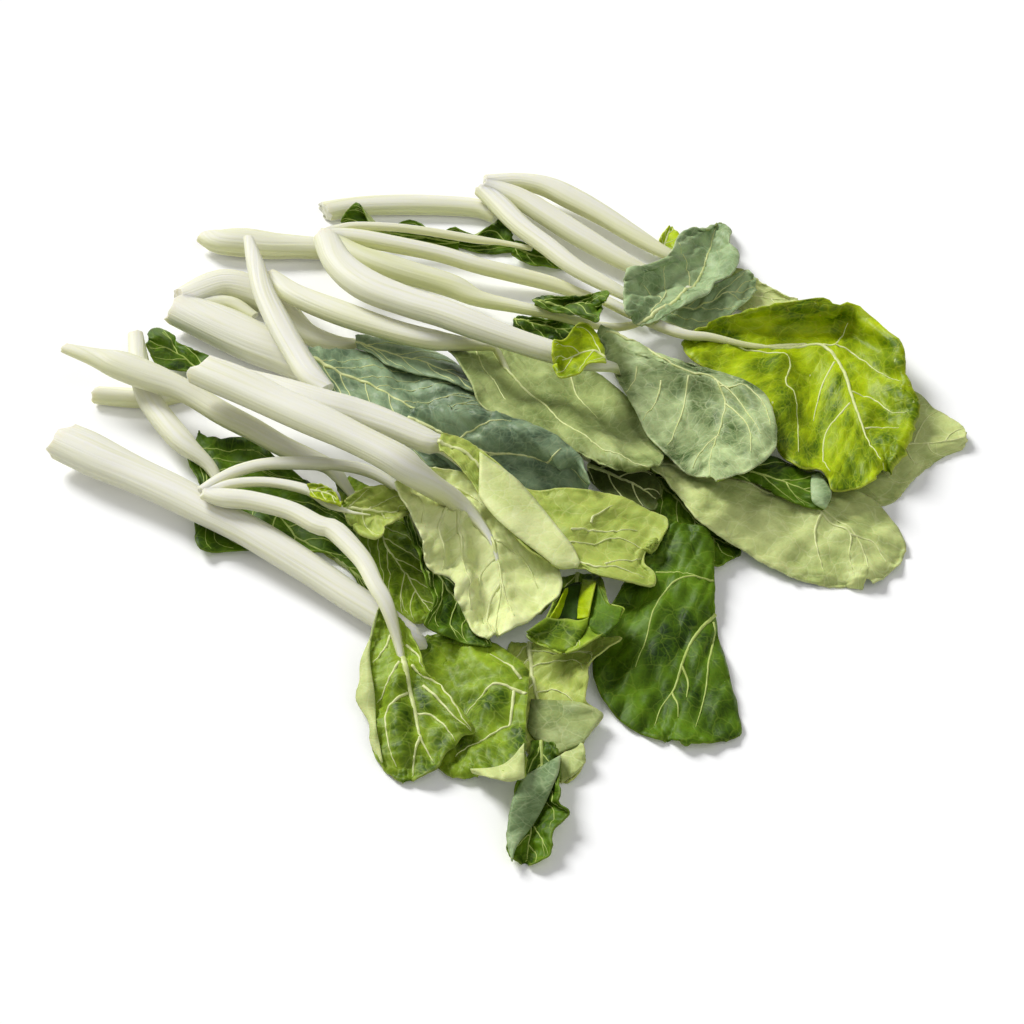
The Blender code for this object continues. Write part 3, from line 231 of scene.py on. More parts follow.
# Each blade: planned points along its rib and along its two edges, from its base to its tip.
BLADES = {
    "flat_leaf": dict(
        rib=[(-148, 53), (-137, 29), (-126, 11), (-115, 2), (-105, -4), (-96, -16), (-86, -27),
             (-69, -42), (-57, -62)],
        left=[(-153, 48), (-148, 33), (-142, 19), (-143, 5), (-142, -10), (-138, -26), (-120, -27),
              (-103, -25), (-86, -28), (-82, -29), (-74, -35), (-68, -47), (-62, -59), (-56, -66)],
        right=[(-148, 60), (-140, 52), (-130, 53), (-122, 53), (-115, 48), (-108, 38), (-92, 20),
               (-82, 11), (-70, -11), (-61, -35), (-56, -52), (-55, -66)],
    ),
    "tucked_leaf": dict(
        rib=[(-137, 95), (-147, 104), (-158, 115), (-168, 123), (-177, 130)],
        left=[(-135, 101), (-146, 116), (-155, 123), (-162, 128), (-164, 133), (-170, 138),
              (-174, 138), (-177, 132)],
        right=[(-142, 92), (-154, 104), (-161, 105), (-169, 107), (-174, 118), (-177, 128)],
    ),
    "pointed_leaf": dict(
        rib=[(-79, 24), (-69, 5), (-60, -14), (-52, -32), (-44, -49), (-38, -62), (-33, -72)],
        left=[(-82, 24), (-77, 7), (-69, -16), (-62, -36), (-55, -55), (-48, -70), (-41, -75),
              (-33, -74)],
        right=[(-76, 27), (-61, 13), (-48, -3), (-40, -19), (-34, -37), (-28, -55), (-26, -67),
               (-33, -74)],
    ),
    "pale_right_leaf": dict(
        rib=[(59, 41), (77, 31), (97, 24), (117, 14), (137, 1), (151, -16), (156, -33), (156, -50)],
        left=[(62, 36), (69, 25), (76, 10), (84, -6), (99, -23), (111, -35), (126, -46), (139, -51),
              (155, -51)],
        right=[(64, 45), (87, 45), (114, 39), (137, 30), (154, 17), (166, 5), (173, -13), (175, -25),
               (171, -35), (164, -44), (155, -51)],
    ),
    "deep_leaf": dict(
        rib=[(62, 30), (71, 15), (79, 0), (87, -13), (95, -22), (103, -27)],
        left=[(60, 22), (63, 7), (66, -8), (75, -20), (83, -31), (90, -37), (97, -33), (103, -28)],
        right=[(64, 36), (73, 32), (84, 22), (95, 8), (104, -5), (108, -17), (104, -26)],
    ),
    "gap_leaf": dict(
        rib=[(35, 34), (42, 29), (52, 22), (60, 15), (66, 8)],
        left=[(34, 26), (38, 18), (46, 10), (55, 5), (61, 2), (64, 1), (66, 7)],
        right=[(36, 40), (45, 41), (54, 39), (63, 34), (66, 25), (68, 16), (67, 9)],
    ),
    "dark_front_leaf": dict(
        rib=[(80, -6), (79, -33), (75, -59), (71, -85), (67, -110), (66, -131), (66, -149)],
        left=[(74, -7), (64, -19), (52, -43), (43, -63), (37, -82), (34, -101), (36, -116), (42, -131),
              (53, -143), (66, -149)],
        right=[(85, -7), (89, -19), (89, -33), (88, -59), (88, -79), (91, -104), (93, -122),
               (94, -143), (83, -148), (73, -149), (66, -149)],
    ),
    "pale_tip_leaf": dict(
        rib=[(153, 45), (171, 45), (185, 48), (198, 50), (212, 54)],
        left=[(152, 34), (153, 17), (164, 6), (169, 5), (175, 10), (182, 21), (191, 32), (201, 41),
              (208, 45), (212, 54)],
        right=[(159, 59), (170, 80), (185, 90), (193, 87), (199, 75), (209, 65), (212, 56)],
    ),
    "yellow_leaf": dict(
        rib=[(7, -85), (9, -110), (12, -131), (16, -151), (20, -172)],
        left=[(0, -85), (-4, -103), (-3, -122), (2, -140), (9, -159), (20, -172)],
        right=[(16, -86), (31, -85), (47, -83), (40, -91), (33, -99), (32, -110), (31, -123),
               (37, -129), (37, -134), (32, -141), (29, -149), (29, -159), (26, -167), (20, -172)],
    ),
    "dark_tip_leaf": dict(
        rib=[(12, -146), (12, -163), (11, -178), (8, -195), (5, -216)],
        left=[(8, -146), (5, -168), (2, -170), (0, -183), (-2, -198), (-1, -211), (5, -216)],
        right=[(17, -146), (20, -156), (20, -163), (19, -170), (20, -176), (19, -182), (23, -188),
               (17, -197), (16, -206), (14, -211), (10, -214), (5, -216)],
    ),
    "curled_leaf": dict(
        rib=[(29, -41), (27, -57), (25, -72), (23, -83), (22, -94)],
        left=[(22, -44), (18, -60), (13, -75), (6, -82), (11, -88), (22, -95)],
        right=[(36, -43), (40, -47), (42, -61), (45, -63), (49, -65), (47, -71), (44, -77), (37, -83),
               (30, -90), (22, -95)],
    ),
    "rear_leaf": dict(
        rib=[(4, 209), (-12, 214), (-31, 221), (-27, 212), (-47, 218), (-66, 222), (-87, 227)],
        left=[(6, 204), (-12, 202), (-31, 209), (-27, 200), (-46, 210), (-66, 215), (-88, 225)],
        right=[(2, 216), (0, 221), (-4, 233), (-8, 232), (-13, 226), (-17, 219), (-18, 218),
               (-24, 222), (-30, 227), (-34, 223), (-42, 224), (-48, 231), (-54, 233), (-59, 229),
               (-66, 227), (-73, 230), (-79, 248), (-85, 241), (-88, 228)],
    ),
    "far_leaf": dict(
        rib=[(103, 170), (115, 166), (127, 163), (142, 162)],
        left=[(104, 163), (114, 153), (127, 153), (142, 160)],
        right=[(104, 176), (113, 190), (126, 176), (135, 167), (142, 163)],
    ),
    "crinkled_leaf": dict(
        rib=[(63, 148), (82, 153), (100, 163), (122, 175)],
        left=[(65, 140), (87, 138), (99, 144), (112, 156), (122, 173)],
        right=[(65, 156), (88, 170), (106, 180), (118, 188), (122, 178)],
    ),
    "small_tip": dict(
        rib=[(75, 199), (77, 209), (79, 218), (81, 227)],
        left=[(71, 201), (74, 211), (76, 219), (81, 228)],
        right=[(80, 199), (83, 209), (85, 219), (81, 227)],
    ),
    "mid_dark_leaf": dict(
        rib=[(-100, 117), (-85, 104), (-71, 96), (-57, 84), (-45, 74), (-29, 67), (-17, 62), (-1, 58)],
        left=[(-100, 115), (-88, 90), (-77, 70), (-59, 49), (-42, 32), (-35, 30), (-15, 33), (-1, 55)],
        right=[(-101, 123), (-90, 121), (-77, 121), (-65, 116), (-56, 108), (-44, 102), (-30, 97),
               (-15, 85), (-3, 73), (0, 59)],
    ),
    "upper_dark_leaf": dict(
        rib=[(-77, 128), (-63, 121), (-49, 114), (-35, 107), (-23, 98), (-12, 87)],
        left=[(-76, 124), (-67, 118), (-60, 110), (-50, 104), (-39, 100), (-30, 97), (-21, 90),
              (-11, 86)],
        right=[(-77, 131), (-74, 133), (-63, 130), (-51, 126), (-40, 122), (-30, 114), (-23, 106),
               (-15, 96), (-12, 87)],
    ),
    "long_wing": dict(
        rib=[(1, 208), (10, 202), (18, 197), (27, 190)],
        left=[(-1, 202), (8, 194), (18, 191), (27, 188)],
        right=[(1, 214), (8, 211), (18, 202), (27, 191)],
    ),
    "lower_wing": dict(
        rib=[(0, 147), (10, 143), (21, 140), (32, 134)],
        left=[(0, 141), (7, 134), (17, 130), (26, 126), (32, 130)],
        right=[(2, 149), (14, 148), (25, 146), (34, 140), (33, 135)],
    ),
    "rolled_leaf": dict(
        rib=[(99, 34), (112, 27), (126, 20), (136, 14), (144, 10)],
        left=[(97, 26), (111, 20), (120, 12), (128, 6), (136, 2), (140, 2), (144, 9)],
        right=[(104, 42), (120, 39), (127, 34), (135, 28), (141, 28), (144, 20), (144, 10)],
    ),
    "bright_leaf": dict(
        rib=[(83, 134), (100, 129), (112, 126), (123, 124), (133, 125), (142, 126), (149, 124),
             (154, 116), (158, 101), (160, 83), (162, 65), (165, 45), (169, 25)],
        left=[(81, 128), (86, 113), (98, 101), (110, 89), (118, 71), (121, 54), (123, 42), (127, 35),
              (133, 30), (141, 30), (144, 23), (146, 14), (158, 17), (169, 24)],
        right=[(84, 138), (93, 140), (98, 145), (109, 151), (123, 157), (135, 161), (144, 163),
               (149, 165), (156, 164), (159, 158), (164, 160), (171, 158), (176, 149), (183, 138),
               (188, 130), (190, 118), (189, 98), (192, 86), (192, 74), (189, 62), (185, 49),
               (179, 35), (170, 24)],
    ),
    "shaded_leaf": dict(
        rib=[(-20, 130), (-11, 122), (0, 99), (9, 84), (17, 72), (27, 59), (37, 48), (52, 36), (66, 31)],
        left=[(-35, 128), (-27, 115), (-20, 97), (-14, 78), (-2, 69), (9, 63), (22, 50), (35, 39),
              (44, 32), (54, 29), (66, 31)],
        right=[(-16, 138), (4, 126), (23, 115), (42, 102), (56, 82), (65, 59), (70, 41), (66, 31)],
    ),
    "veined_dark_leaf": dict(
        rib=[(-50, 70), (-31, 56), (-12, 43), (1, 42), (17, 36), (28, 32), (36, 17)],
        left=[(-50, 65), (-38, 46), (-19, 23), (-1, 8), (17, 6), (31, 8), (36, 16)],
        right=[(-50, 74), (-41, 76), (-29, 76), (-15, 74), (4, 67), (20, 55), (29, 43), (34, 30),
               (36, 18)],
    ),
    "big_leaf": dict(
        rib=[(39, 136), (57, 120), (76, 109), (88, 98), (95, 82), (97, 63), (94, 45), (90, 24)],
        left=[(39, 130), (44, 120), (50, 99), (57, 78), (63, 56), (72, 41), (81, 28), (90, 23)],
        right=[(41, 144), (54, 131), (67, 120), (85, 111), (109, 99), (120, 86), (123, 71), (123, 52),
               (119, 41), (110, 31), (100, 26), (90, 23)],
    ),
    "big_leaf_lobe": dict(
        rib=[(45, 115), (39, 120), (32, 119), (26, 114), (21, 112)],
        left=[(46, 111), (37, 111), (32, 103), (23, 99), (20, 108)],
        right=[(44, 122), (39, 140), (34, 144), (30, 140), (25, 130), (20, 130), (19, 119), (20, 109)],
    ),
    "upturned_leaf": dict(
        rib=[(59, 143), (68, 150), (78, 159), (88, 173), (96, 192), (100, 209), (105, 229)],
        left=[(57, 146), (55, 153), (55, 169), (56, 184), (60, 191), (66, 192), (75, 197), (81, 206),
              (84, 218), (91, 224), (97, 225), (104, 230)],
        right=[(62, 142), (73, 148), (83, 156), (96, 165), (101, 176), (108, 182), (114, 194),
               (114, 204), (110, 213), (112, 221), (109, 228), (105, 230)],
    ),
    "upper_wing": dict(
        rib=[(10, 160), (21, 160), (31, 158), (39, 157), (45, 160)],
        left=[(10, 158), (21, 153), (31, 150), (38, 146), (42, 144), (44, 155)],
        right=[(9, 162), (18, 166), (31, 166), (40, 168), (43, 170), (47, 171), (48, 168), (46, 161)],
    ),
    "front_leaf": dict(
        rib=[(-37, -82), (-29, -92), (-21, -108), (-16, -126), (-14, -148), (-12, -167)],
        left=[(-39, -87), (-41, -102), (-40, -119), (-37, -140), (-32, -159), (-26, -167), (-20, -168),
              (-16, -165), (-12, -168)],
        right=[(-33, -82), (-23, -84), (-9, -87), (0, -95), (7, -105), (6, -131), (6, -154), (5, -168),
               (-3, -168), (-12, -168)],
    ),
    "arch_leaf": dict(
        rib=[(-52, 16), (-45, -6), (-37, -29), (-30, -49), (-21, -67), (-9, -91)],
        left=[(-53, 13), (-47, -11), (-40, -35), (-37, -50), (-34, -61), (-37, -72), (-37, -77),
              (-29, -83), (-18, -88), (-9, -91)],
        right=[(-49, 16), (-35, -6), (-25, -29), (-19, -55), (-12, -74), (-8, -91)],
    ),
    "little_leaf": dict(
        rib=[(-78, 4), (-69, 0), (-60, -2), (-52, -2), (-46, 1)],
        left=[(-77, 0), (-71, -11), (-67, -18), (-61, -20), (-58, -16), (-57, -10), (-53, -8),
              (-48, -4), (-46, 0)],
        right=[(-77, 7), (-75, 11), (-71, 14), (-65, 18), (-58, 18), (-52, 14), (-49, 8), (-46, 1)],
    ),
    "yellow_scrap": dict(
        rib=[(-92, 15), (-87, 14), (-82, 11), (-77, 5)],
        left=[(-92, 12), (-87, 9), (-82, 6), (-77, 4)],
        right=[(-94, 19), (-89, 20), (-84, 18), (-80, 13), (-77, 6)],
    ),
    "young_leaf": dict(
        rib=[(-55, -56), (-51, -71), (-48, -87), (-46, -102), (-43, -117), (-41, -131), (-40, -145),
             (-40, -158), (-42, -172)],
        left=[(-56, -58), (-58, -66), (-60, -81), (-64, -98), (-64, -110), (-65, -122), (-59, -136),
              (-58, -148), (-54, -159), (-49, -167), (-42, -172)],
        right=[(-53, -58), (-49, -70), (-44, -79), (-41, -87), (-37, -101), (-33, -109), (-27, -118),
               (-20, -130), (-15, -141), (-20, -144), (-23, -149), (-27, -155), (-30, -163),
               (-35, -166), (-42, -172)],
    ),
    "centre_leaf": dict(
        rib=[(-51, 29), (-40, 20), (-31, 12), (-19, 0), (-11, -14), (-7, -32), (-5, -50), (-6, -67),
             (-8, -85)],
        left=[(-54, 24), (-50, 11), (-45, -3), (-40, -19), (-38, -35), (-34, -42), (-29, -44),
              (-25, -49), (-25, -56), (-22, -65), (-19, -74), (-16, -81), (-8, -86)],
        right=[(-44, 33), (-33, 31), (-21, 27), (-9, 7), (2, -10), (13, -24), (21, -40), (21, -54),
               (14, -63), (8, -73), (2, -78), (-5, -82), (-8, -86)],
    ),
    "folded_leaf": dict(
        rib=[(-36, 54), (-21, 40), (-10, 22), (0, 4), (10, -11), (22, -21), (34, -21), (48, -19),
             (64, -30)],
        left=[(-35, 48), (-28, 40), (-23, 31), (-18, 20), (-13, 7), (-4, -8), (5, -23), (15, -33),
              (21, -39), (30, -38), (40, -44), (53, -48), (62, -50), (63, -41), (59, -33), (61, -24),
              (68, -17)],
        right=[(-35, 59), (-23, 53), (-11, 41), (0, 26), (7, 16), (20, 17), (34, 16), (46, 12),
               (59, 3), (68, -2), (70, -6), (69, -15)],
    ),
}

# Side veins that can be told apart in the picture, as planned points from the rib out.
VEINS = {
    "big_leaf": [
        [(46, 134), (54, 129), (64, 122), (78, 108), (86, 102), (96, 98), (100, 88), (101, 74),
         (96, 57), (92, 41), (90, 26)],
        [(84, 99), (81, 78), (75, 57), (72, 49)],
        [(71, 99), (68, 82), (63, 70), (61, 66)],
        [(60, 108), (58, 96), (54, 88)],
        [(97, 96), (106, 84), (112, 68), (116, 53)],
        [(101, 78), (106, 70), (111, 58), (110, 40)],
        [(96, 55), (88, 45), (83, 32)],
        [(100, 90), (112, 88), (119, 76), (121, 60)],
    ],
    "front_leaf": [
        [(6, -119), (0, -117), (-7, -117), (-14, -124), (-19, -131)],
        [(1, -118), (0, -130), (-2, -138), (-11, -146), (-23, -156)],
        [(4, -110), (-1, -102), (-9, -96)],
    ],
    "young_leaf": [
        [(-54, -60), (-50, -76), (-47, -95), (-43, -116), (-40, -131), (-38, -144), (-35, -152),
         (-32, -159)],
        [(-52, -82), (-54, -90), (-59, -99)],
        [(-48, -101), (-54, -118), (-57, -123)],
        [(-44, -118), (-51, -129), (-52, -136), (-50, -150), (-47, -162)],
        [(-38, -145), (-40, -154), (-40, -168)],
        [(-45, -89), (-40, -95), (-37, -102)],
        [(-42, -103), (-27, -119), (-17, -140)],
        [(-37, -115), (-24, -131), (-17, -141)],
        [(-40, -130), (-33, -132), (-27, -140), (-23, -147)],
    ],
    "centre_leaf": [
        [(-19, 1), (-11, -14), (-7, -32), (-5, -50), (-2, -62), (2, -75)],
        [(-25, 1), (-24, -19), (-22, -35), (-20, -52), (-18, -67)],
        [(-30, 1), (-33, -8), (-33, -16), (-31, -29), (-31, -41)],
        [(-45, 13), (-41, 4), (-39, -11)],
        [(-8, -34), (-13, -41), (-14, -49)],
        [(-6, -52), (-9, -59), (-10, -75), (-7, -85)],
        [(-8, -21), (4, -31), (11, -50)],
        [(-27, 19), (-19, 12), (-13, 5)],
        [(-23, 11), (-17, 4), (-15, -6)],
    ],
    "folded_leaf": [
        [(26, -16), (35, -14), (46, -14), (56, -13)],
        [(30, -32), (35, -36), (39, -38), (46, -38), (52, -41), (58, -44)],
        [(41, -36), (48, -32), (58, -30)],
        [(35, -10), (37, -5), (45, 2)],
    ],
    "bright_leaf": [
        [(104, 129), (112, 126), (123, 124), (133, 125), (142, 126), (149, 124), (154, 116), (158, 101),
         (160, 83), (162, 65), (165, 45), (169, 28)],
        [(150, 124), (161, 121), (168, 113), (176, 102), (186, 95)],
        [(154, 108), (148, 95), (144, 80), (142, 71)],
        [(160, 84), (170, 82), (179, 71), (186, 70)],
        [(159, 76), (150, 65), (146, 57), (144, 42), (145, 28)],
        [(164, 57), (172, 59), (181, 59)],
        [(157, 124), (161, 138), (164, 145)],
        [(109, 124), (129, 116), (133, 108), (130, 95), (134, 83), (132, 42)],
    ],
    "pale_right_leaf": [
        [(136, 2), (142, -9), (150, -19), (149, -32), (150, -46)],
        [(150, -19), (160, -22), (165, -35)],
        [(139, -3), (135, -16), (137, -41)],
    ],
    "dark_front_leaf": [
        [(88, -69), (80, -80), (75, -90), (72, -102), (67, -118), (62, -127), (59, -138)],
        [(88, -47), (81, -46), (70, -53), (62, -68), (58, -85), (52, -106)],
        [(86, -75), (86, -86), (83, -102), (81, -118), (76, -139)],
        [(72, -103), (74, -111), (73, -122)],
        [(67, -118), (69, -126), (69, -133)],
        [(63, -42), (72, -43), (81, -46)],
    ],
    "upturned_leaf": [
        [(59, 142), (68, 149), (78, 158), (88, 173), (96, 192), (104, 226)],
        [(68, 151), (76, 168), (77, 179), (76, 192)],
        [(89, 176), (88, 199), (84, 211)],
        [(74, 164), (70, 173), (66, 177)],
    ],
    "shaded_leaf": [
        [(-8, 123), (0, 99), (17, 72), (37, 47)],
        [(-19, 125), (-11, 100), (-3, 82)],
        [(28, 100), (33, 82), (40, 72)],
    ],
    "veined_dark_leaf": [
        [(-11, 40), (1, 42), (17, 36), (28, 32)],
        [(-25, 52), (-18, 60), (0, 65)],
        [(16, 36), (20, 41), (23, 45)],
    ],
}
# Blades whose rib is drawn by the veins above, so that no second rib runs beside it.
OWN_RIB = {"bright_leaf", "dark_front_leaf", "upturned_leaf", "big_leaf", "young_leaf", "front_leaf"}
# Width of the first vein of a blade at its start, where it isn't the usual one.
RIB_START = {
    "young_leaf": 4.6, "big_leaf": 1.9, "mid_dark_leaf": 2.8, "upper_dark_leaf": 2.2,
    "veined_dark_leaf": 2.4, "bright_leaf": 3.2, "dark_front_leaf": 2.0, "upturned_leaf": 2.6,
    "centre_leaf": 2.6, "front_leaf": 2.2,
}

# Folded and curled parts of a blade, as a low and a high line, the rise over the blade at each of them, how
# far the part bulges between them, and its looks.
FOLDS = {
    "front_leaf": [
        ([(5, -168), (-1, -170), (-8, -168), (-16, -165)], [(5, -148), (-1, -158), (-7, -162), (-17, -163)],
         0.5, 1.4, 1.2, "pale_back"),
    ],
    "young_leaf": [
        ([(-58, -66), (-60, -81), (-64, -98), (-64, -110), (-65, -122), (-59, -136), (-58, -148),
          (-53, -159)],
         [(-60, -78), (-61, -90), (-60, -102), (-58, -115), (-57, -126), (-56, -140), (-54, -151),
          (-53, -159)],
         0.5, 1.2, 1.0, "pale_back"),
    ],
    "folded_leaf": [
        ([(-15, 11), (-8, -3), (3, -18), (14, -31), (21, -39), (29, -38)],
         [(-15, 43), (0, 26), (7, 15), (15, 0), (22, -14), (27, -24), (30, -35)],
         0.5, 1.6, 1.8, "light_back"),
    ],
    "curled_leaf": [
        ([(17, -73), (22, -74), (29, -73)], [(22, -52), (26, -49), (30, -48)], 1.0, 1.0, 0.0, "inner_shade"),
        ([(16, -72), (20, -62), (23, -52)], [(21, -72), (23, -62), (25, -51)], 4.0, 0.4, 0.0, "bright_face"),
        ([(28, -72), (29, -61), (31, -46)], [(33, -71), (35, -58), (37, -47)], 0.8, 5.5, 0.8, "bright_face"),
        ([(6, -80), (13, -88), (21, -93), (27, -89), (32, -77)],
         [(15, -71), (19, -72), (24, -72), (29, -73), (33, -71)], 0.4, 5.0, 1.5, "mid_face"),
        ([(32, -77), (39, -83), (46, -74)], [(37, -46), (41, -61), (48, -65)], 0.5, 1.0, 1.5, "dark_face"),
    ],
    "yellow_leaf": [
        ([(20, -171), (23, -168), (27, -164), (30, -159)], [(20, -155), (25, -150), (29, -148), (30, -154)],
         0.4, 0.6, 0.3, "pale_back"),
        ([(8, -122), (7, -132), (7, -141), (12, -148), (19, -154)],
         [(24, -123), (31, -125), (38, -131), (34, -139), (29, -148)], 0.8, 1.4, 1.2, "mid_back"),
    ],
    "dark_tip_leaf": [
        ([(5, -167), (0, -181), (-2, -201), (0, -214)],
         [(20, -155), (19, -164), (16, -174), (11, -188), (6, -198), (1, -205)],
         0.5, 2.4, 2.6, "satin_face"),
    ],
    "rolled_leaf": [
        ([(137, 26), (136, 18), (136, 7), (141, 2)], [(141, 28), (143, 21), (145, 13), (142, 4)],
         0.6, 1.2, 0.8, "satin_face"),
    ],
}

# Lasting creases of a blade: the line, how far it rises or sinks, and its half width.
CREASES = {
    "bright_leaf": [
        ([(131, 114), (131, 96), (131, 76), (132, 53), (131, 34)], 3.5, 6.0),
        ([(141, 114), (139, 88), (140, 68), (138, 43)], -4.5, 10.0),
        ([(153, 118), (159, 88), (164, 57), (167, 34)], 3.0, 8.0),
        ([(187, 124), (189, 96), (189, 68), (178, 34)], 3.0, 9.0),
        ([(103, 136), (135, 138), (160, 136), (183, 120)], -3.5, 7.0),
    ],
    "big_leaf": [
        ([(54, 130), (64, 122), (78, 108), (96, 98), (101, 78)], 1.8, 9.0),
        ([(74, 96), (79, 72), (79, 49)], -2.5, 9.0),
        ([(112, 88), (116, 68), (112, 49)], 2.5, 8.0),
    ],
    "centre_leaf": [
        ([(-32, 0), (-32, -20), (-30, -41)], 2.2, 4.0),
        ([(-24, -5), (-22, -34), (-18, -62)], 2.8, 5.0),
        ([(-28, -9), (-27, -34)], -2.2, 4.0),
        ([(-16, -22), (-13, -49), (-11, -70)], -2.6, 5.0),
        ([(-8, -25), (-5, -53), (1, -75)], 2.8, 5.0),
        ([(5, -28), (9, -47), (12, -62)], -2.8, 6.0),
    ],
    "folded_leaf": [
        ([(30, -13), (39, 0), (50, 8)], 2.5, 7.0),
        ([(31, -28), (47, -28), (59, -34)], -2.2, 7.0),
    ],
    "dark_front_leaf": [
        ([(72, -50), (61, -69), (57, -87), (51, -107)], 3.5, 7.0),
        ([(51, -65), (45, -87), (43, -107)], -3.0, 7.0),
    ],
    "pale_right_leaf": [
        ([(137, 1), (150, -20), (154, -46)], 2.5, 6.0),
        ([(96, 16), (109, -2), (124, -15)], 2.5, 9.0),
        ([(125, -2), (127, -29)], -2.0, 7.0),
    ],
    "young_leaf": [
        ([(-58, -72), (-58, -101), (-55, -130)], -2.0, 5.0),
        ([(-40, -101), (-30, -123), (-20, -141)], 2.0, 5.0),
        ([(-48, -101), (-48, -127), (-44, -155)], 2.2, 5.0),
    ],
    "front_leaf": [
        ([(-28, -95), (-26, -110), (-25, -124)], -2.5, 6.0),
        ([(-11, -101), (-8, -114), (-9, -130)], 3.0, 8.0),
    ],
    "shaded_leaf": [
        ([(16, 96), (30, 64), (46, 43)], 2.5, 7.0),
        ([(30, 88), (44, 68), (58, 57)], -2.5, 8.0),
    ],
    "mid_dark_leaf": [
        ([(-72, 82), (-43, 59), (-15, 30)], 3.0, 6.0),
        ([(-53, 94), (-24, 67)], -2.5, 5.0),
    ],
    "veined_dark_leaf": [
        ([(-29, 71), (-1, 59), (22, 37)], 2.5, 6.0),
        ([(-33, 52), (-6, 37), (17, 23)], -2.0, 5.0),
    ],
    "upturned_leaf": [
        ([(65, 170), (77, 179), (91, 194)], -3.0, 7.0),
        ([(95, 175), (103, 194), (107, 210)], -2.5, 6.0),
    ],
}
# How much more some blades are crinkled.
RUFFLE = {
    "little_leaf": 3.0, "crinkled_leaf": 2.6, "upturned_leaf": 1.5, "upper_wing": 2.0, "lower_wing": 2.0,
}

# The face of each blade that is turned up: its looks, then how far it is puffed between its veins.
LOOKS = {
    "gap_leaf": ("shade_back", -0.4), "upturned_leaf": ("satin_face", 1.3),
    "crinkled_leaf": ("satin_face", 1.4), "deep_leaf": ("dark_face", 0.8),
    "centre_leaf": ("light_back", -0.5), "folded_leaf": ("yellow_back", -0.4),
    "far_leaf": ("pale_back", -0.4), "pale_right_leaf": ("pale_back", -0.4),
    "pale_tip_leaf": ("pale_back", -0.4), "shaded_leaf": ("mid_back", -0.6),
    "big_leaf": ("grey_back", -0.6), "bright_leaf": ("bright_face", 1.0),
    "big_leaf_lobe": ("bright_face", 0.7), "yellow_scrap": ("bright_face", 0.6),
    "small_tip": ("bright_face", 0.8), "little_leaf": ("yellow_back", 2.4),
    "front_leaf": ("mid_face", 0.9), "young_leaf": ("mid_face", 0.9), "pointed_leaf": ("mid_face", 0.8),
    "curled_leaf": ("mid_face", 0.8), "yellow_leaf": ("yellow_back", -0.4),
    "veined_dark_leaf": ("blue_face", 1.3), "mid_dark_leaf": ("blue_face", 1.3),
    "upper_dark_leaf": ("blue_face", 1.0),
}
DEFAULT_LOOK = ("dark_face", 1.0)

# Each look of a blade's face: its slot, the look of the other side, its deep, light and vein colours, how
# strong its net of veins is, how rough it is, and how pale its edge is.
FACES = {
    "dark_face": ("leaf", "mid_back",
                  (0.012, 0.036, 0.001), (0.120, 0.235, 0.005), (0.36, 0.50, 0.06), 0.18, 0.52, 0.2),
    "blue_face": ("leaf", "grey_back",
                  (0.080, 0.130, 0.070), (0.340, 0.460, 0.260), (0.56, 0.65, 0.36), 0.18, 0.44, 0.2),
    "mid_face": ("bright_leaf", "mid_back",
                 (0.034, 0.082, 0.001), (0.330, 0.480, 0.026), (0.60, 0.70, 0.18), 0.20, 0.46, 0.25),
    "satin_face": ("leaf", "mid_back",
                   (0.140, 0.220, 0.080), (0.460, 0.600, 0.310), (0.68, 0.77, 0.44), 0.22, 0.48, 0.25),
    "inner_shade": ("leaf", "dark_face",
                    (0.008, 0.020, 0.001), (0.030, 0.070, 0.004), (0.10, 0.16, 0.02), 0.05, 0.5, 0.0),
    "bright_face": ("bright_leaf", "pale_back",
                    (0.080, 0.150, 0.001), (0.480, 0.620, 0.003), (0.70, 0.78, 0.10), 0.22, 0.44, 0.4),
    "pale_back": ("pale_leaf", "mid_face",
                  (0.380, 0.460, 0.140), (0.640, 0.710, 0.280), (0.80, 0.84, 0.46), 0.28, 0.52, 0.25),
    # light_back is pale_back with every colour made lighter: painted light on the centre blade and the
    # folded flap.
    "light_back": ("pale_leaf", "mid_face",
                   (0.600, 0.680, 0.240), (0.800, 0.850, 0.400), (0.88, 0.91, 0.58), 0.28, 0.52, 0.25),
    "shade_back": ("pale_leaf", "dark_face",
                   (0.030, 0.048, 0.006), (0.090, 0.120, 0.026), (0.22, 0.28, 0.08), 0.20, 0.52, 0.25),
    "yellow_back": ("pale_leaf", "mid_face",
                    (0.290, 0.385, 0.055), (0.500, 0.590, 0.125), (0.72, 0.76, 0.28), 0.28, 0.50, 0.35),
    "mid_back": ("pale_leaf", "dark_face",
                 (0.190, 0.250, 0.070), (0.450, 0.530, 0.195), (0.64, 0.70, 0.34), 0.26, 0.50, 0.25),
    "grey_back": ("pale_leaf", "mid_face",
                  (0.060, 0.110, 0.024), (0.560, 0.680, 0.320), (0.74, 0.80, 0.48), 0.28, 0.50, 0.25),
}
# Blades that look alike on both sides.
SAME_BACK = {"folded_leaf"}
# Values of a point where a part of a piece gives none.
USUAL_VALUES = {"leaf_mm": 0.0, "vein_gap": 9.0, "edge_gap": 9.0, "tint": 0.0, "end": 9.0}

# How green or yellow a stalk is, from plain white at 0 to green at 1.
STALK_TINT = {
    "long_upper": 0.55, "long_lower": 0.7, "long_thin": 0.5, "top_1": 0.25, "top_2": 0.4, "top_3": 0.45,
    "shaded": 0.35, "big": 0.1, "bright": 0.6, "back": 0.3, "brown_end": 0.35, "pointed": 0.3,
    "broad_1": 0.05, "broad_2": 0.3, "broad_heart": 0.6, "straight": 0.0, "front": 0.0, "arch": 0.15,
    "little": 0.3, "young": 0.15, "centre": 0.1, "folded": 0.1, "stub": 0.4, "flat_leaf": 0.1,
    "under_front": 0.3, "under_right": 0.35,
}
BROWN_ENDS = {"brown_end": 1.0, "broad_1": 0.35, "broad_2": 0.25, "stub": 0.25, "folded": 0.2, "centre": 0.2}
USUAL_BROWN = 0.08

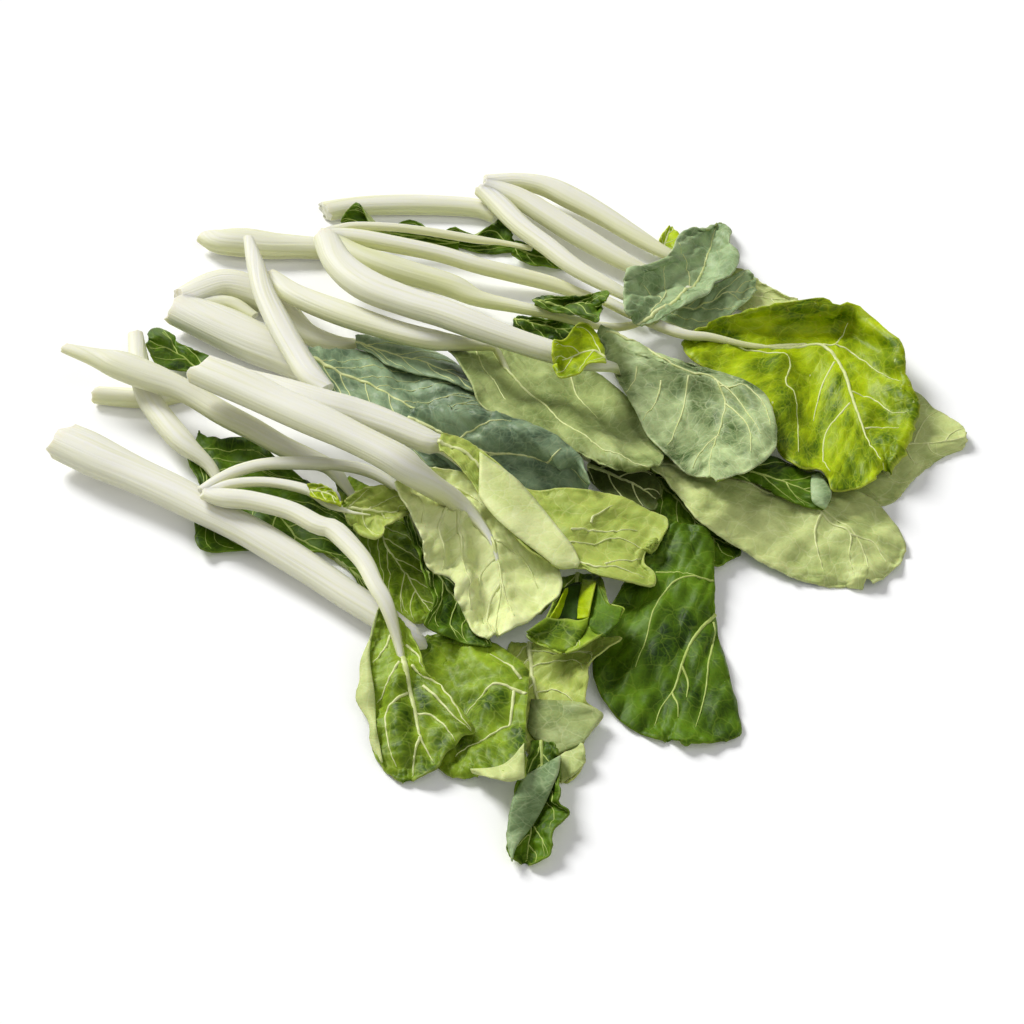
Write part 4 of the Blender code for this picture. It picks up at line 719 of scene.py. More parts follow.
# Width of a blade's rib vein where it isn't the usual one.
VEIN_WIDTH = {
    "front_leaf": 1.9, "young_leaf": 1.8, "dark_front_leaf": 1.5, "centre_leaf": 2.2, "bright_leaf": 1.5,
    "veined_dark_leaf": 1.5, "mid_dark_leaf": 1.3, "big_leaf": 1.2, "shaded_leaf": 1.3, "upturned_leaf": 1.1,
}

# How a blade is curved: rise of its left and right edges over its rib, and the size and number of waves
# along each edge.
CURVES = {
    "flat_leaf": (2, 3, 1.0, 3), "tucked_leaf": (5, 3, 0.5, 2), "pale_right_leaf": (-4, -6, 1.2, 3),
    "dark_front_leaf": (5, -9, 1.5, 3), "pale_tip_leaf": (-4, -5, 1.0, 2), "yellow_leaf": (3, 7, 2.0, 2),
    "dark_tip_leaf": (9, 6, 1.5, 2), "curled_leaf": (9, 12, 1.0, 2), "upper_dark_leaf": (-3, -6, 1.0, 3),
    "mid_dark_leaf": (-4, -5, 1.0, 3), "shaded_leaf": (-9, -6, 1.0, 2),
    "veined_dark_leaf": (-5, -9, 1.2, 3), "bright_leaf": (7, 15, 2.4, 3), "big_leaf": (-9, -6, 1.2, 3),
    "big_leaf_lobe": (3, 8, 0.5, 1), "upturned_leaf": (13, 5, 2.0, 3), "rolled_leaf": (-3, -8, 0.5, 2),
    "front_leaf": (-3, -6, 1.5, 2), "young_leaf": (-8, 7, 1.8, 3), "little_leaf": (5, 6, 1.5, 2),
    "centre_leaf": (-7, -5, 1.8, 3), "folded_leaf": (-6, 4, 1.8, 3), "arch_leaf": (5, 3, 2.0, 3),
}
DEFAULT_CURVE = (3, 3, 0.8, 2)
SMALL_BLADES = {
    "tucked_leaf", "far_leaf", "crinkled_leaf", "small_tip", "long_wing", "lower_wing", "upper_wing",
    "big_leaf_lobe", "little_leaf", "yellow_scrap", "rear_leaf", "rolled_leaf", "curled_leaf",
    "pale_tip_leaf", "upper_dark_leaf", "gap_leaf",
}

# The order of the pile, from the table up. A stalk and its own blade stand together.
PILE = [
    ("stub", None), ("flat_leaf", "flat_leaf"), ("broad_2", None), ("broad_heart", None),
    ("broad_1", None), (None, "tucked_leaf"), ("pointed", "pointed_leaf"), ("under_front", None),
    ("under_right", None), (None, "deep_leaf"), (None, "gap_leaf"), (None, "dark_front_leaf"),
    (None, "pale_tip_leaf"), (None, "pale_right_leaf"), (None, "yellow_leaf"), (None, "dark_tip_leaf"),
    (None, "curled_leaf"), ("back", None), (None, "rear_leaf"), (None, "far_leaf"),
    (None, "crinkled_leaf"), (None, "small_tip"), (None, "mid_dark_leaf"), (None, "upper_dark_leaf"),
    (None, "long_wing"), (None, "lower_wing"), ("brown_end", None), ("long_thin", None),
    ("long_upper", None), ("long_lower", None), ("top_3", None), ("top_2", None), ("top_1", None),
    (None, "rolled_leaf"), ("bright", "bright_leaf"), ("shaded", "shaded_leaf"),
    (None, "veined_dark_leaf"), ("big", "big_leaf"), (None, "big_leaf_lobe"), (None, "upper_wing"),
    (None, "upturned_leaf"), ("straight", None), ("front", "front_leaf"), ("arch", "arch_leaf"),
    ("little", "little_leaf"), (None, "yellow_scrap"), ("young", "young_leaf"), ("folded", None),
    ("centre", "centre_leaf"), (None, "folded_leaf"),
]

# Stalks that grow from one cut base, and so are one piece.
HEADS = {
    "broad_head_stalks": ("broad_1", "broad_2", "broad_heart"),
    "long_head_stalks": ("long_thin", "long_upper", "long_lower"),
    "top_head_stalks": ("top_1", "top_2", "top_3"),
    "small_head_stalks": ("arch", "little", "young"),
}
HEAD_OF = {stalk: name for name, stalks in HEADS.items() for stalk in stalks}


def unit(vectors):
    """The vectors with a length of one."""
    return vectors / np.maximum(np.linalg.norm(vectors, axis=-1), 1e-9)[..., None]


def real_place(planned, height):
    """The point at this height on the line of sight to a planned point on the table."""
    share = height / EYE_HIGH
    x = planned[..., 0] * (1.0 - share)
    y = planned[..., 1] - share * (planned[..., 1] + EYE_BACK)
    return np.stack([x, y, height], axis=-1)


def planned_place(points):
    """The planned point behind each real point."""
    share = points[..., 2] / EYE_HIGH
    x = points[..., 0] / (1.0 - share)
    y = (points[..., 1] + share * EYE_BACK) / (1.0 - share)
    return np.stack([x, y], axis=-1)


def smooth_line(points, count):
    """A round line through the points, read at this many even places or at these shares of its length."""
    points = np.array(points, dtype=float)
    padded = np.vstack([2 * points[0] - points[1], points, 2 * points[-1] - points[-2]])
    pieces = []
    for index in range(len(points) - 1):
        before, start, end, after = padded[index:index + 4]
        for step in np.linspace(0.0, 1.0, CURVE_STEPS, endpoint=False):
            pieces.append(0.5 * (2 * start + (end - before) * step
                                 + (2 * before - 5 * start + 4 * end - after) * step ** 2
                                 + (3 * start - before - 3 * end + after) * step ** 3))
    pieces.append(points[-1])
    line = np.array(pieces)
    lengths = np.r_[0.0, np.cumsum(np.linalg.norm(np.diff(line[:, :2], axis=0), axis=1))]
    wanted = np.asarray(count, dtype=float) if np.ndim(count) else np.linspace(0.0, 1.0, count)
    reached = wanted * lengths[-1]
    return np.stack([np.interp(reached, lengths, line[:, k]) for k in range(line.shape[1])], axis=-1)


def tube_frame(middle):
    """Directions along, across and up from a line of real points."""
    along = unit(np.gradient(middle, axis=0))
    across = unit(np.cross(along, (0.0, 0.0, 1.0)))
    return along, across, np.cross(across, along)


def normals_of(middle):
    """Unit normals of a sheet, all to the side that looks up."""
    normal = unit(np.cross(np.gradient(middle, axis=0), np.gradient(middle, axis=1)))
    return -normal if normal[..., 2].mean() < 0 else normal


def border_of(rows, columns):
    """Pairs of neighbouring points round the rim of a grid."""
    last = (rows - 1) * columns
    border = list(range(columns)) + [row * columns + columns - 1 for row in range(1, rows)]
    border += [last + column for column in range(columns - 2, -1, -1)]
    border += [row * columns for row in range(rows - 2, 0, -1)]
    return zip(border, border[1:] + border[:1])


class HeightField:
    """How high the pile is behind each planned point, and a copy without the head being laid."""

    def __init__(self):
        self.top = np.full(FIELD_CELLS, -REST_GAP)
        self.below_head = self.top.copy()

    def cells(self, planned):
        index = np.rint((planned - FIELD_LOW) / FIELD_STEP).astype(int)
        return tuple(np.clip(index[..., axis], 0, FIELD_CELLS[axis] - 1) for axis in (0, 1))

    def read(self, planned, field=None):
        field = self.top if field is None else field
        return field[self.cells(planned)]

    def add(self, points):
        """Raise the field to these real points and their neighbouring cells."""
        mine = np.full(FIELD_CELLS, FAR_BELOW)
        np.maximum.at(mine, self.cells(planned_place(points)), points[..., 2])
        for axis in (0, 1):
            mine = np.maximum(mine, np.maximum(np.roll(mine, 1, axis), np.roll(mine, -1, axis)))
        self.top = np.maximum(self.top, mine)


def surface_samples(vertices, triangles):
    """Points all over the triangles, one row for each triangle."""
    shares = [(i / SAMPLES, j / SAMPLES) for i in range(SAMPLES + 1) for j in range(SAMPLES + 1 - i)]
    first, second, third = (vertices[triangles[:, corner]] for corner in range(3))
    return np.stack([first * (1 - a - b) + second * a + third * b for a, b in shares], axis=1)


def bending(count):
    """The stiffness matrix of a strip of this many points that resists bending."""
    second = np.zeros((max(count - 2, 1), count))
    for row in range(count - 2):
        second[row, row:row + 3] = (1.0, -2.0, 1.0)
    return second.T @ second


def lay_down(stiff, shape, weight, floor, tie=None):
    """Heights of a bendy thing with this rest shape that sags onto the floor under it."""
    count = len(floor)
    system = stiff + np.eye(count) * weight
    load = stiff @ shape + weight * floor
    if tie is not None:
        pull, target = tie
        system = system + np.diag(pull)
        load = load + pull * target
    height = np.maximum(np.linalg.solve(system, load), floor)
    diagonal = np.diag(system)
    for _ in range(SAG_ROUNDS):
        before = height.copy()
        for index in range(count):
            rest = (load[index] - system[index] @ height) / diagonal[index] + height[index]
            height[index] = max(rest, floor[index])
        if np.abs(height - before).max() < SAG_SETTLED:
            break
    return height


def stalk_plan(name, least, step):
    """Planned points along a stalk with its width at each, at about this step."""
    route = np.array(STALKS[name], dtype=float)
    length = np.linalg.norm(np.diff(route[:, :2], axis=0), axis=1).sum()
    return smooth_line(route, max(least, step(length)))


def stalk_line(name):
    """Evenly spaced planned points along a stalk, with its half width at each."""
    line = stalk_plan(name, 5, lambda length: int(round(length / STALK_STEP)) + 1)
    return line[:, :2], np.maximum(line[:, 2] * STALK_TRIM, THINNEST_STALK) / 2.0


def stalk_floor(line, half, field, head, extra=0.0):
    """The least height of a stalk's middle at each station."""
    along = unit(np.gradient(line, axis=0))
    across = np.stack([-along[:, 1], along[:, 0]], axis=-1)
    thick = half * STALK_FLATNESS
    floor = np.full(len(line), FAR_BELOW)
    near = np.linalg.norm(line - line[0], axis=1) < BASE_CLUSTER
    steps = np.arange(len(line))
    for shift in BETWEEN:
        at = np.clip(steps + shift, 0, len(line) - 1)
        middle = np.stack([np.interp(at, steps, line[:, k]) for k in (0, 1)], axis=-1)
        for share in np.linspace(-1.0, 1.0, FLOOR_SHARES):
            drop = -thick * math.sqrt(1.0 - share * share)
            planned = middle + across * (half * share)[:, None]
            planned = planned + (planned + (0.0, EYE_BACK)) * (drop / EYE_HIGH)[:, None]
            high = field.read(planned)
            if head:
                high = np.where(near, field.read(planned, field.below_head), high)
            floor = np.maximum(floor, high + REST_GAP + extra - drop)
    return floor


def flat_on_table(points):
    """The points with those that nearly touch the table set flat on it."""
    points[:, 2] = np.where(points[:, 2] < TABLE_SNAP, 0.0, points[:, 2])
    return points


def stalk_mesh(line, half, height):
    """Corners and triangles of a laid stalk, an oval tube, and the station that each corner belongs to."""
    middle = real_place(line, height)
    _, across, upward = tube_frame(middle)
    turns = (np.arange(STALK_SIDES) + 0.5) * 2 * math.pi / STALK_SIDES
    full = 1.0 / math.cos(math.pi / STALK_SIDES)
    wide = half[:, None] * np.cos(turns) * full
    tall = half[:, None] * STALK_FLATNESS * np.sin(turns) * full
    corners = middle[:, None] + across[:, None] * wide[..., None] + upward[:, None] * tall[..., None]
    triangles = []
    for row in range(len(line) - 1):
        for side in range(STALK_SIDES):
            a = row * STALK_SIDES + side
            b = row * STALK_SIDES + (side + 1) % STALK_SIDES
            triangles += [(a, b + STALK_SIDES, b), (a, a + STALK_SIDES, b + STALK_SIDES)]
    last = (len(line) - 1) * STALK_SIDES
    for side in range(1, STALK_SIDES - 1):
        triangles += [(0, side, side + 1), (last, last + side + 1, last + side)]
    points = flat_on_table(corners.reshape(-1, 3))
    return points, np.array(triangles), np.repeat(np.arange(len(line)), STALK_SIDES)


def blade_plan(name, grids):
    """Planned points of a blade: rows along its rib, columns from its left edge to its right edge. It also
    gives the even places of the rows, the shares of the rib's length there and the places of the columns."""
    count, half_columns = grids[name not in SMALL_BLADES]
    even = np.linspace(0.0, 1.0, count)
    rows = END_TRIM + (1 - 2 * END_TRIM) * (EVEN_SHARE * even
                                            + (1 - EVEN_SHARE) * (0.5 - 0.5 * np.cos(math.pi * even)))
    rib, left, right = (smooth_line(BLADES[name][part], rows) for part in ("rib", "left", "right"))
    share = np.linspace(0.0, 1.0, half_columns + 1)[1:, None, None]
    grid = np.concatenate([(rib + (left - rib) * share)[::-1], rib[None], rib + (right - rib) * share])
    return grid.transpose(1, 0, 2), even, rows, np.linspace(-1.0, 1.0, 2 * half_columns + 1)


def blade_shape(name, rows, columns):
    """Rise of the blade over its rib when nothing bends it."""
    left, right, wave, waves = CURVES.get(name, DEFAULT_CURVE)
    full = np.sqrt(np.clip(np.sin(math.pi * rows), LEAST_FULLNESS, 1.0))[:, None]
    edge = np.where(columns < 0, left, right)[None, :]
    turn = np.where(columns < 0, LEFT_TURN, RIGHT_TURN)[None, :]
    ripple = wave * np.sin(2 * math.pi * waves * rows[:, None] + turn)
    return full * (edge * np.abs(columns) ** EDGE_POWER + ripple * np.abs(columns) ** 2)


def blade_floor(grid, field):
    """The least height of each blade point: the pile under the cells around it."""
    count, width = grid.shape[:2]
    floor = np.full((count, width), FAR_BELOW)
    for a in BETWEEN:
        at = np.clip(np.arange(count) + a, 0, count - 1)
        low = np.minimum(at.astype(int), count - 2)
        rows = grid[low] + (grid[low + 1] - grid[low]) * (at - low)[:, None, None]
        for b in BETWEEN:
            to = np.clip(np.arange(width) + b, 0, width - 1)
            left = np.minimum(to.astype(int), width - 2)
            points = rows[:, left] + (rows[:, left + 1] - rows[:, left]) * (to - left)[None, :, None]
            floor = np.maximum(floor, field.read(points))
    return floor + REST_GAP + BLADE_THICKNESS / 2


def blade_mesh(grid, height):
    """Corners and triangles of a laid blade, split alike on both faces, and the grid point of each one."""
    count, width = height.shape
    middle = real_place(grid, height)
    normal = normals_of(middle)
    upper = (middle + normal * BLADE_THICKNESS / 2).reshape(-1, 3)
    lower = (middle - normal * BLADE_THICKNESS / 2).reshape(-1, 3)
    points = flat_on_table(np.vstack([upper, lower]))
    top = []
    for row in range(count - 1):
        for column in range(width - 1):
            a = row * width + column
            b, c, d = a + 1, a + width, a + width + 1
            top += [(a, c, b), (b, c, d)] if column < width // 2 else [(a, d, b), (a, c, d)]
    size = count * width
    bottom = [(c + size, b + size, a + size) for a, b, c in top]
    rim = []
    for here, there in border_of(count, width):
        rim += [(here, there, there + size), (here, there + size, here + size)]
    return points, np.array(top + bottom + rim), np.tile(np.arange(size), 2)


def raise_clear(build, height, field, head=False, base=None):
    """Raise parts of a piece until its faces are clear of the pile under them."""
    for _ in range(CLEAR_ROUNDS):
        points, triangles, owner = build(height)
        samples = surface_samples(points, triangles)
        planned = planned_place(samples)
        high = field.read(planned)
        if head:
            near = np.linalg.norm(planned - base, axis=-1) < BASE_CLUSTER
            high = np.where(near, field.read(planned, field.below_head), high)
        short = (high + LEAST_GAP - samples[..., 2]).max(axis=1)
        lift = np.zeros(height.size)
        for corner in range(3):
            np.maximum.at(lift, owner[triangles[:, corner]], np.maximum(short, 0.0))
        if lift.max() <= CLEAR_ENOUGH:
            break
        lift = lift.reshape(height.shape)
        height = height + lift + LIFT_MARGIN * (lift > 0)
    field.add(surface_samples(*build(height)[:2]))
    return height


def tie_to_stalk(grid, line, height, thick):
    """Pull of the stalk on the blade points under it, and the height that it holds them at."""
    middle = grid.shape[1] // 2
    pull = np.zeros(grid.shape[:2])
    target = np.zeros(grid.shape[:2])
    fine = smooth_line(np.column_stack([line, height - thick]), RIB_FINENESS * len(line))
    for row in range(grid.shape[0]):
        distance = np.linalg.norm(fine[:, :2] - grid[row, middle], axis=1)
        nearest = distance.argmin()
        if distance[nearest] < STALK_REACH:
            pull[row, middle] = RIB_PULL
            target[row, middle] = fine[nearest, 2] - UNDER_STALK_GAP - BLADE_THICKNESS / 2
    return pull.ravel(), target.ravel()


def tie_to_base(count, base_height):
    """Pull of a head's base on the first stations of a stalk, and the height that it holds them at."""
    pull = np.zeros(count)
    pull[:BASE_STATIONS] = BASE_PULL
    return pull, np.full(count, base_height)


def lay_stalk(line, half, field, head, hold, under=0.0):
    """Heights of a stalk that sags onto the pile."""
    floor = stalk_floor(line, half, field, head, under)
    return lay_down(bending(len(line)), np.zeros(len(line)), STALK_WEIGHT, floor, hold)


def lay_leaf(stalk, blade, field, head, base_height):
    """Line and sheet of one leaf's stalk and blade laid on the pile."""
    laid_stalk = laid_blade = tie = hold = None
    if stalk:
        line, half = stalk_line(stalk)
        if base_height is not None:
            hold = tie_to_base(len(line), base_height)
    if blade:
        grid, _, rows, columns = blade_plan(blade, LAID_GRIDS)
        if stalk:
            height = lay_stalk(line, half, field, head, hold, BLADE_THICKNESS + UNDER_STALK_GAP)
            tie = tie_to_stalk(grid, line, height, half * STALK_FLATNESS)
        count, width = grid.shape[:2]
        stiff = np.kron(bending(count), np.eye(width)) + np.kron(np.eye(count), bending(width))
        shape = blade_shape(blade, rows, columns)
        lain = lay_down(stiff, shape.ravel(), BLADE_WEIGHT, blade_floor(grid, field).ravel(), tie)
        lain = raise_clear(lambda h: blade_mesh(grid, h), lain.reshape(count, width), field)
        laid_blade = (grid, lain)
    if stalk:
        height = lay_stalk(line, half, field, head, hold)
        height = raise_clear(lambda h: stalk_mesh(line, half, h), height, field, head, line[0])
        laid_stalk = (line, half, height)
    return laid_stalk, laid_blade


def lay_pile():
    """Lay every leaf from the table up. Gives the line of each stalk and the sheet of each blade."""
    field = HeightField()
    base_heights = dict(HELD_UP)
    begun, stalks, blades = set(), {}, {}
    for stalk, blade in PILE:
        head = HEAD_OF.get(stalk)
        if head and head not in begun:
            field.below_head = field.top.copy()
            begun.add(head)
        laid_stalk, laid_blade = lay_leaf(stalk, blade, field, head is not None, base_heights.get(head))
        if stalk:
            stalks[stalk] = laid_stalk
            if head:
                base_heights.setdefault(head, laid_stalk[2][0])
        if blade:
            blades[blade] = laid_blade
    return stalks, blades


def centre_of(stalks, blades):
    """Middle of the pile's box on the table."""
    meshes = [stalk_mesh(*form) for form in stalks.values()]
    meshes += [blade_mesh(*form) for form in blades.values()]
    points = np.vstack([points for points, _, _ in meshes])
    low, high = points.min(axis=0), points.max(axis=0)
    return np.array([(low[0] + high[0]) / 2, (low[1] + high[1]) / 2, 0.0])


# From here on the laid pile is made fine.


def round_weights(count, wanted):
    """Weights that read a round line through this many values at places from 0 to 1."""
    table = np.zeros((len(wanted), count))
    for row, place in enumerate(wanted):
        at = min(max(place, 0.0) * (count - 1), count - 1.0001)
        low = int(at)
        step = at - low
        parts = (0.5 * (-step + 2 * step ** 2 - step ** 3), 0.5 * (2 - 5 * step ** 2 + 3 * step ** 3),
                 0.5 * (step + 4 * step ** 2 - 3 * step ** 3), 0.5 * (step ** 3 - step ** 2))
        for index, part in zip(range(low - 1, low + 3), parts):
            if index < 0:
                table[row, 0] += 2 * part
                table[row, 1] -= part
            elif index >= count:
                table[row, -1] += 2 * part
                table[row, -2] -= part
            else:
                table[row, index] += part
    return table


def wavy(place, seed, waves):
    """A gentle random-looking value from about -1 to 1 at each planned place, in millimetres."""
    chance = np.random.default_rng(seed)
    total = np.zeros(place.shape[:-1])
    for step in range(waves):
        size = 2 * math.pi / (WAVE_LENGTH / WAVE_FINER ** step)
        turn = chance.uniform(0, 2 * math.pi)
        phase = chance.uniform(0, 2 * math.pi)
        across = place[..., 0] * math.cos(turn) + place[..., 1] * math.sin(turn)
        total += np.sin(size * across + phase) / WAVE_WEAKER ** step
    return total / 2.6


def read_grid(values, rows, columns):
    """Values of a grid read between its points."""
    rows = np.clip(rows, 0, values.shape[0] - 1.001)
    columns = np.clip(columns, 0, values.shape[1] - 1.001)
    low, left = rows.astype(int), columns.astype(int)
    a, b = rows - low, columns - left
    if values.ndim == 3:
        a, b = a[..., None], b[..., None]
    upper = values[low, left] * (1 - b) + values[low, left + 1] * b
    lower = values[low + 1, left] * (1 - b) + values[low + 1, left + 1] * b
    return upper * (1 - a) + lower * a


def grid_places(grid, points):
    """Row and column, with fractions, of each planned point on a blade's grid."""
    count, width = grid.shape[:2]
    cells = grid.reshape(-1, 2)
    nearest = np.array([np.linalg.norm(cells - point, axis=1).argmin() for point in points])
    place = np.column_stack([nearest // width, nearest % width]).astype(float)
    down, side = np.gradient(grid, axis=0), np.gradient(grid, axis=1)
    for _ in range(5):
        miss = points - read_grid(grid, place[:, 0], place[:, 1])
        a = read_grid(down, place[:, 0], place[:, 1])
        b = read_grid(side, place[:, 0], place[:, 1])
        area = a[:, 0] * b[:, 1] - a[:, 1] * b[:, 0]
        area = np.where(np.abs(area) < 1e-6, 1e-6, area)
        step = np.column_stack([miss[:, 0] * b[:, 1] - miss[:, 1] * b[:, 0],
                                a[:, 0] * miss[:, 1] - a[:, 1] * miss[:, 0]]) / area[:, None]
        place = np.clip(place + np.clip(step, -1.0, 1.0), 0.05, (count - 1.05, width - 1.05))
    return place


def planned_veins(name, grid, main, first):
    """The veins of the plan as lists of (row, column, width)."""
    paths = []
    for number, points in enumerate(VEINS[name]):
        start = first if name in OWN_RIB and number == 0 else 0.9 * main
        thin = VEIN_TIP + (start - VEIN_TIP) * np.linspace(1.0, 0.0, VEIN_STEPS) ** 0.8
        paths.append(np.column_stack([grid_places(grid, smooth_line(points, VEIN_STEPS)), thin]))
    return paths


def grown_veins(name, grid, main):
    """Side veins that leave the rib at seeded places, some of them forked."""
    last, middle = grid.shape[0] - 1, (grid.shape[1] - 1) / 2
    length = np.linalg.norm(np.diff(grid[:, grid.shape[1] // 2], axis=0), axis=1).sum()
    chance = np.random.default_rng(len(name) * 17 + ord(name[0]))
    number = max(3, int(length / SIDE_VEIN_GAP))
    out, fork = np.linspace(0.0, 0.93, SIDE_VEIN_STEPS), np.linspace(0.0, 1.0, FORK_STEPS)
    paths = []
    for side in (-1, 1):
        for index in range(number):
            start = (0.02 + 0.88 * (index + 0.5 * (side > 0) + chance.uniform(-0.2, 0.2)) / number) * last
            reach = (0.24 + 0.05 * chance.uniform(-1, 1)) * last * (1.25 - 0.7 * index / number)
            row = np.minimum(start + reach * (0.5 * out + 0.5 * out ** 2.2), last - 0.5)
            column = middle + side * middle * out
            paths.append(np.column_stack([row, column, np.linspace(0.6 * main, 0.22, SIDE_VEIN_STEPS)]))
            if chance.uniform() < 0.5:
                row = np.minimum(row[FORK_STEPS] + last * (0.03 * fork + 0.10 * fork ** 1.5), last - 0.5)
                turned = column[FORK_STEPS] + side * middle * 0.34 * fork
                paths.append(np.column_stack([row, turned, np.linspace(0.34 * main, 0.2, FORK_STEPS)]))
    return paths


def own_veins(name, grid):
    """Vein paths of a blade as lists of (row, column, width), read off the plan or grown from the rib."""
    count, width = grid.shape[:2]
    pale = LOOKS.get(name, DEFAULT_LOOK)[0].endswith("back")
    main = VEIN_WIDTH.get(name, PALE_VEIN if pale else GREEN_VEIN)
    first = RIB_START.get(name, 1.7 * main)
    paths = []
    if name not in OWN_RIB:
        thin = np.linspace(1.0, 0.0, VEIN_STEPS) ** 1.3
        middle = np.full(VEIN_STEPS, (width - 1) / 2)
        rows = np.linspace(0.0, count - 2.0, VEIN_STEPS)
        paths.append(np.column_stack([rows, middle, RIB_TIP + (first - RIB_TIP) * thin]))
    if name in VEINS:
        return paths + planned_veins(name, grid, main, first)
    return paths + grown_veins(name, grid, main)


def vein_distance(grid, paths):
    """Distance in millimetres from each fine point to the nearest vein, less the vein's half width."""
    nearest = np.full(grid.shape[:2], NO_LIMIT)
    for path in paths:
        place = read_grid(grid, path[:, 0], path[:, 1])
        gap = np.linalg.norm(grid[:, :, None] - place[None, None], axis=3) - path[:, 2] / 2
        nearest = np.minimum(nearest, gap.min(axis=2))
    return np.maximum(nearest, 0.0)


def soften(values, rounds):
    """Each value averaged with its neighbours."""
    for _ in range(rounds):
        padded = np.pad(values, 1, mode="edge")
        around = padded[:-2, 1:-1] + padded[2:, 1:-1] + padded[1:-1, :-2] + padded[1:-1, 2:]
        values = around / 8 + values / 2
    return values


def above_table(points):
    """The points with none of them in the table."""
    points[..., 2] = np.maximum(points[..., 2], TABLE_CLEAR)
    return points


def seed_of(name):
    return sum(map(ord, name))


class Sheet:
    """A fine blade: its planned grid, real middle points, normals and veins."""

    def __init__(self, name, coarse, field):
        self.grid, along, _, across = blade_plan(name, FINE_GRIDS)
        self.paths = own_veins(name, self.grid)
        self.gap = vein_distance(self.grid, self.paths)
        down = round_weights(coarse.shape[0], along)
        side = round_weights(coarse.shape[1], (across + 1) / 2)
        height = np.maximum(down @ coarse @ side.T, SHEET_THICKNESS / 2)
        curl = EDGE_CURL.get(name, DEFAULT_CURL) * np.abs(across)[None, :] ** 4
        height = height + curl * np.clip(wavy(self.grid * EDGE_FINENESS, seed_of(name) + 1, 4), -0.6, 1.0)
        self.relief = self.relief_of(name) * np.minimum(1.0, (1 - np.abs(across)[None, :]) * 6 + 0.35)
        short = field.read(self.grid) + SCENE_GAP + SHEET_THICKNESS / 2 - (height + self.relief)
        lift = soften(np.maximum(soften(np.maximum(short, 0.0), 1), short), 2)
        least = SHEET_THICKNESS / 2 - np.minimum(self.relief, 0.0)
        self.height = np.maximum(height + np.maximum(lift, 0.0), least)
        flat = real_place(self.grid, self.height)
        self.middle = flat + normals_of(flat) * self.relief[..., None]
        self.normal = normals_of(self.middle)
        self.measure(across)

    def relief_of(self, name):
        """How far the blade is puffed between its veins, ruffled and creased."""
        puff = LOOKS.get(name, DEFAULT_LOOK)[1]
        calm = SMALL_CALM if name in SMALL_BLADES else 1.0
        relief = RELIEF * puff * (1 - np.exp(-(self.gap / PUFF_WIDTH) ** 2))
        relief = relief + RELIEF * calm * RUFFLE.get(name, 1.0) * wavy(self.grid, seed_of(name), 8)
        for line, depth, width in CREASES.get(name, []):
            near = smooth_line(line, 40)
            away = np.linalg.norm(self.grid[:, :, None] - near[None, None], axis=3).min(axis=2)
            relief = relief + depth * np.exp(-(away / width) ** 2)
        return relief

    def measure(self, across):
        """Millimetres along the rib, across from it, and in from the edge."""
        rib = len(across) // 2
        self.along = np.r_[0.0, np.cumsum(np.linalg.norm(np.diff(self.middle[:, rib], axis=0), axis=1))]
        half = np.linalg.norm(self.grid - self.grid[:, rib][:, None], axis=2)
        self.across = half * np.sign(across)[None, :]
        self.edge = np.maximum(np.where(across[None, :] < 0, half[:, :1] - half, half[:, -1:] - half), 0.0)

    def height_at(self, planned):
        """Height of the sheet behind a planned point, and how far the nearest point of it is."""
        distance = np.linalg.norm(self.grid.reshape(1, -1, 2) - planned[:, None], axis=2)
        return (self.height + self.relief).ravel()[distance.argmin(axis=1)], distance.min(axis=1)


class Body:
    """Corners, faces and looks of one piece while it is put together."""

    def __init__(self):
        self.points, self.faces, self.slots, self.size = [], [], [], 0
        self.values = {key: [] for key in USUAL_VALUES}

    def add(self, points, faces, slot, **values):
        points = np.asarray(points, dtype=float).reshape(-1, 3)
        self.points.append(points)
        self.faces += [tuple(corner + self.size for corner in face) for face in faces]
        self.slots += [slot] * len(faces)
        for key, usual in USUAL_VALUES.items():
            value = np.asarray(values.get(key, usual), dtype=float)
            shape = (len(points), 3) if key == "leaf_mm" else (len(points),)
            whole = value.size == math.prod(shape)
            self.values[key].append(value.reshape(shape) if whole else np.broadcast_to(value, shape))
        self.size += len(points)


def grid_faces(rows, columns, start=0, flip=False, ring=False):
    """Four-sided faces of a grid of points."""
    faces = []
    for row in range(rows - 1):
        for column in range(columns if ring else columns - 1):
            a = start + row * columns + column
            b = start + row * columns + (column + 1) % columns
            face = (a, b, b + columns, a + columns)
            faces.append(face[::-1] if flip else face)
    return faces


def add_sheet(body, middle, normal, values, slots):
    """Add a thin closed sheet. Its slots are those of its upper face, its lower face and its rim."""
    rows, columns = middle.shape[:2]
    size = rows * columns
    upper = middle + normal * SHEET_THICKNESS / 2
    lower = middle - normal * SHEET_THICKNESS / 2
    turned = np.cross(middle[1, 0] - middle[0, 0], middle[0, 1] - middle[0, 0]) @ normal[0, 0] > 0
    points = above_table(np.concatenate([upper.reshape(-1, 3), lower.reshape(-1, 3)]))
    both = {key: np.concatenate([np.reshape(value, (size, -1))] * 2) for key, value in values.items()}
    faces = grid_faces(rows, columns, 0, turned) + grid_faces(rows, columns, size, not turned)
    rim = [(here, here + size, there + size, there) for here, there in border_of(rows, columns)]
    first, half = len(body.faces), (rows - 1) * (columns - 1)
    body.add(points, faces + [face[::-1] if turned else face for face in rim], slots[0], **both)
    body.slots[first + half:first + 2 * half] = [slots[1]] * half
    body.slots[first + 2 * half:] = [slots[2]] * len(rim)


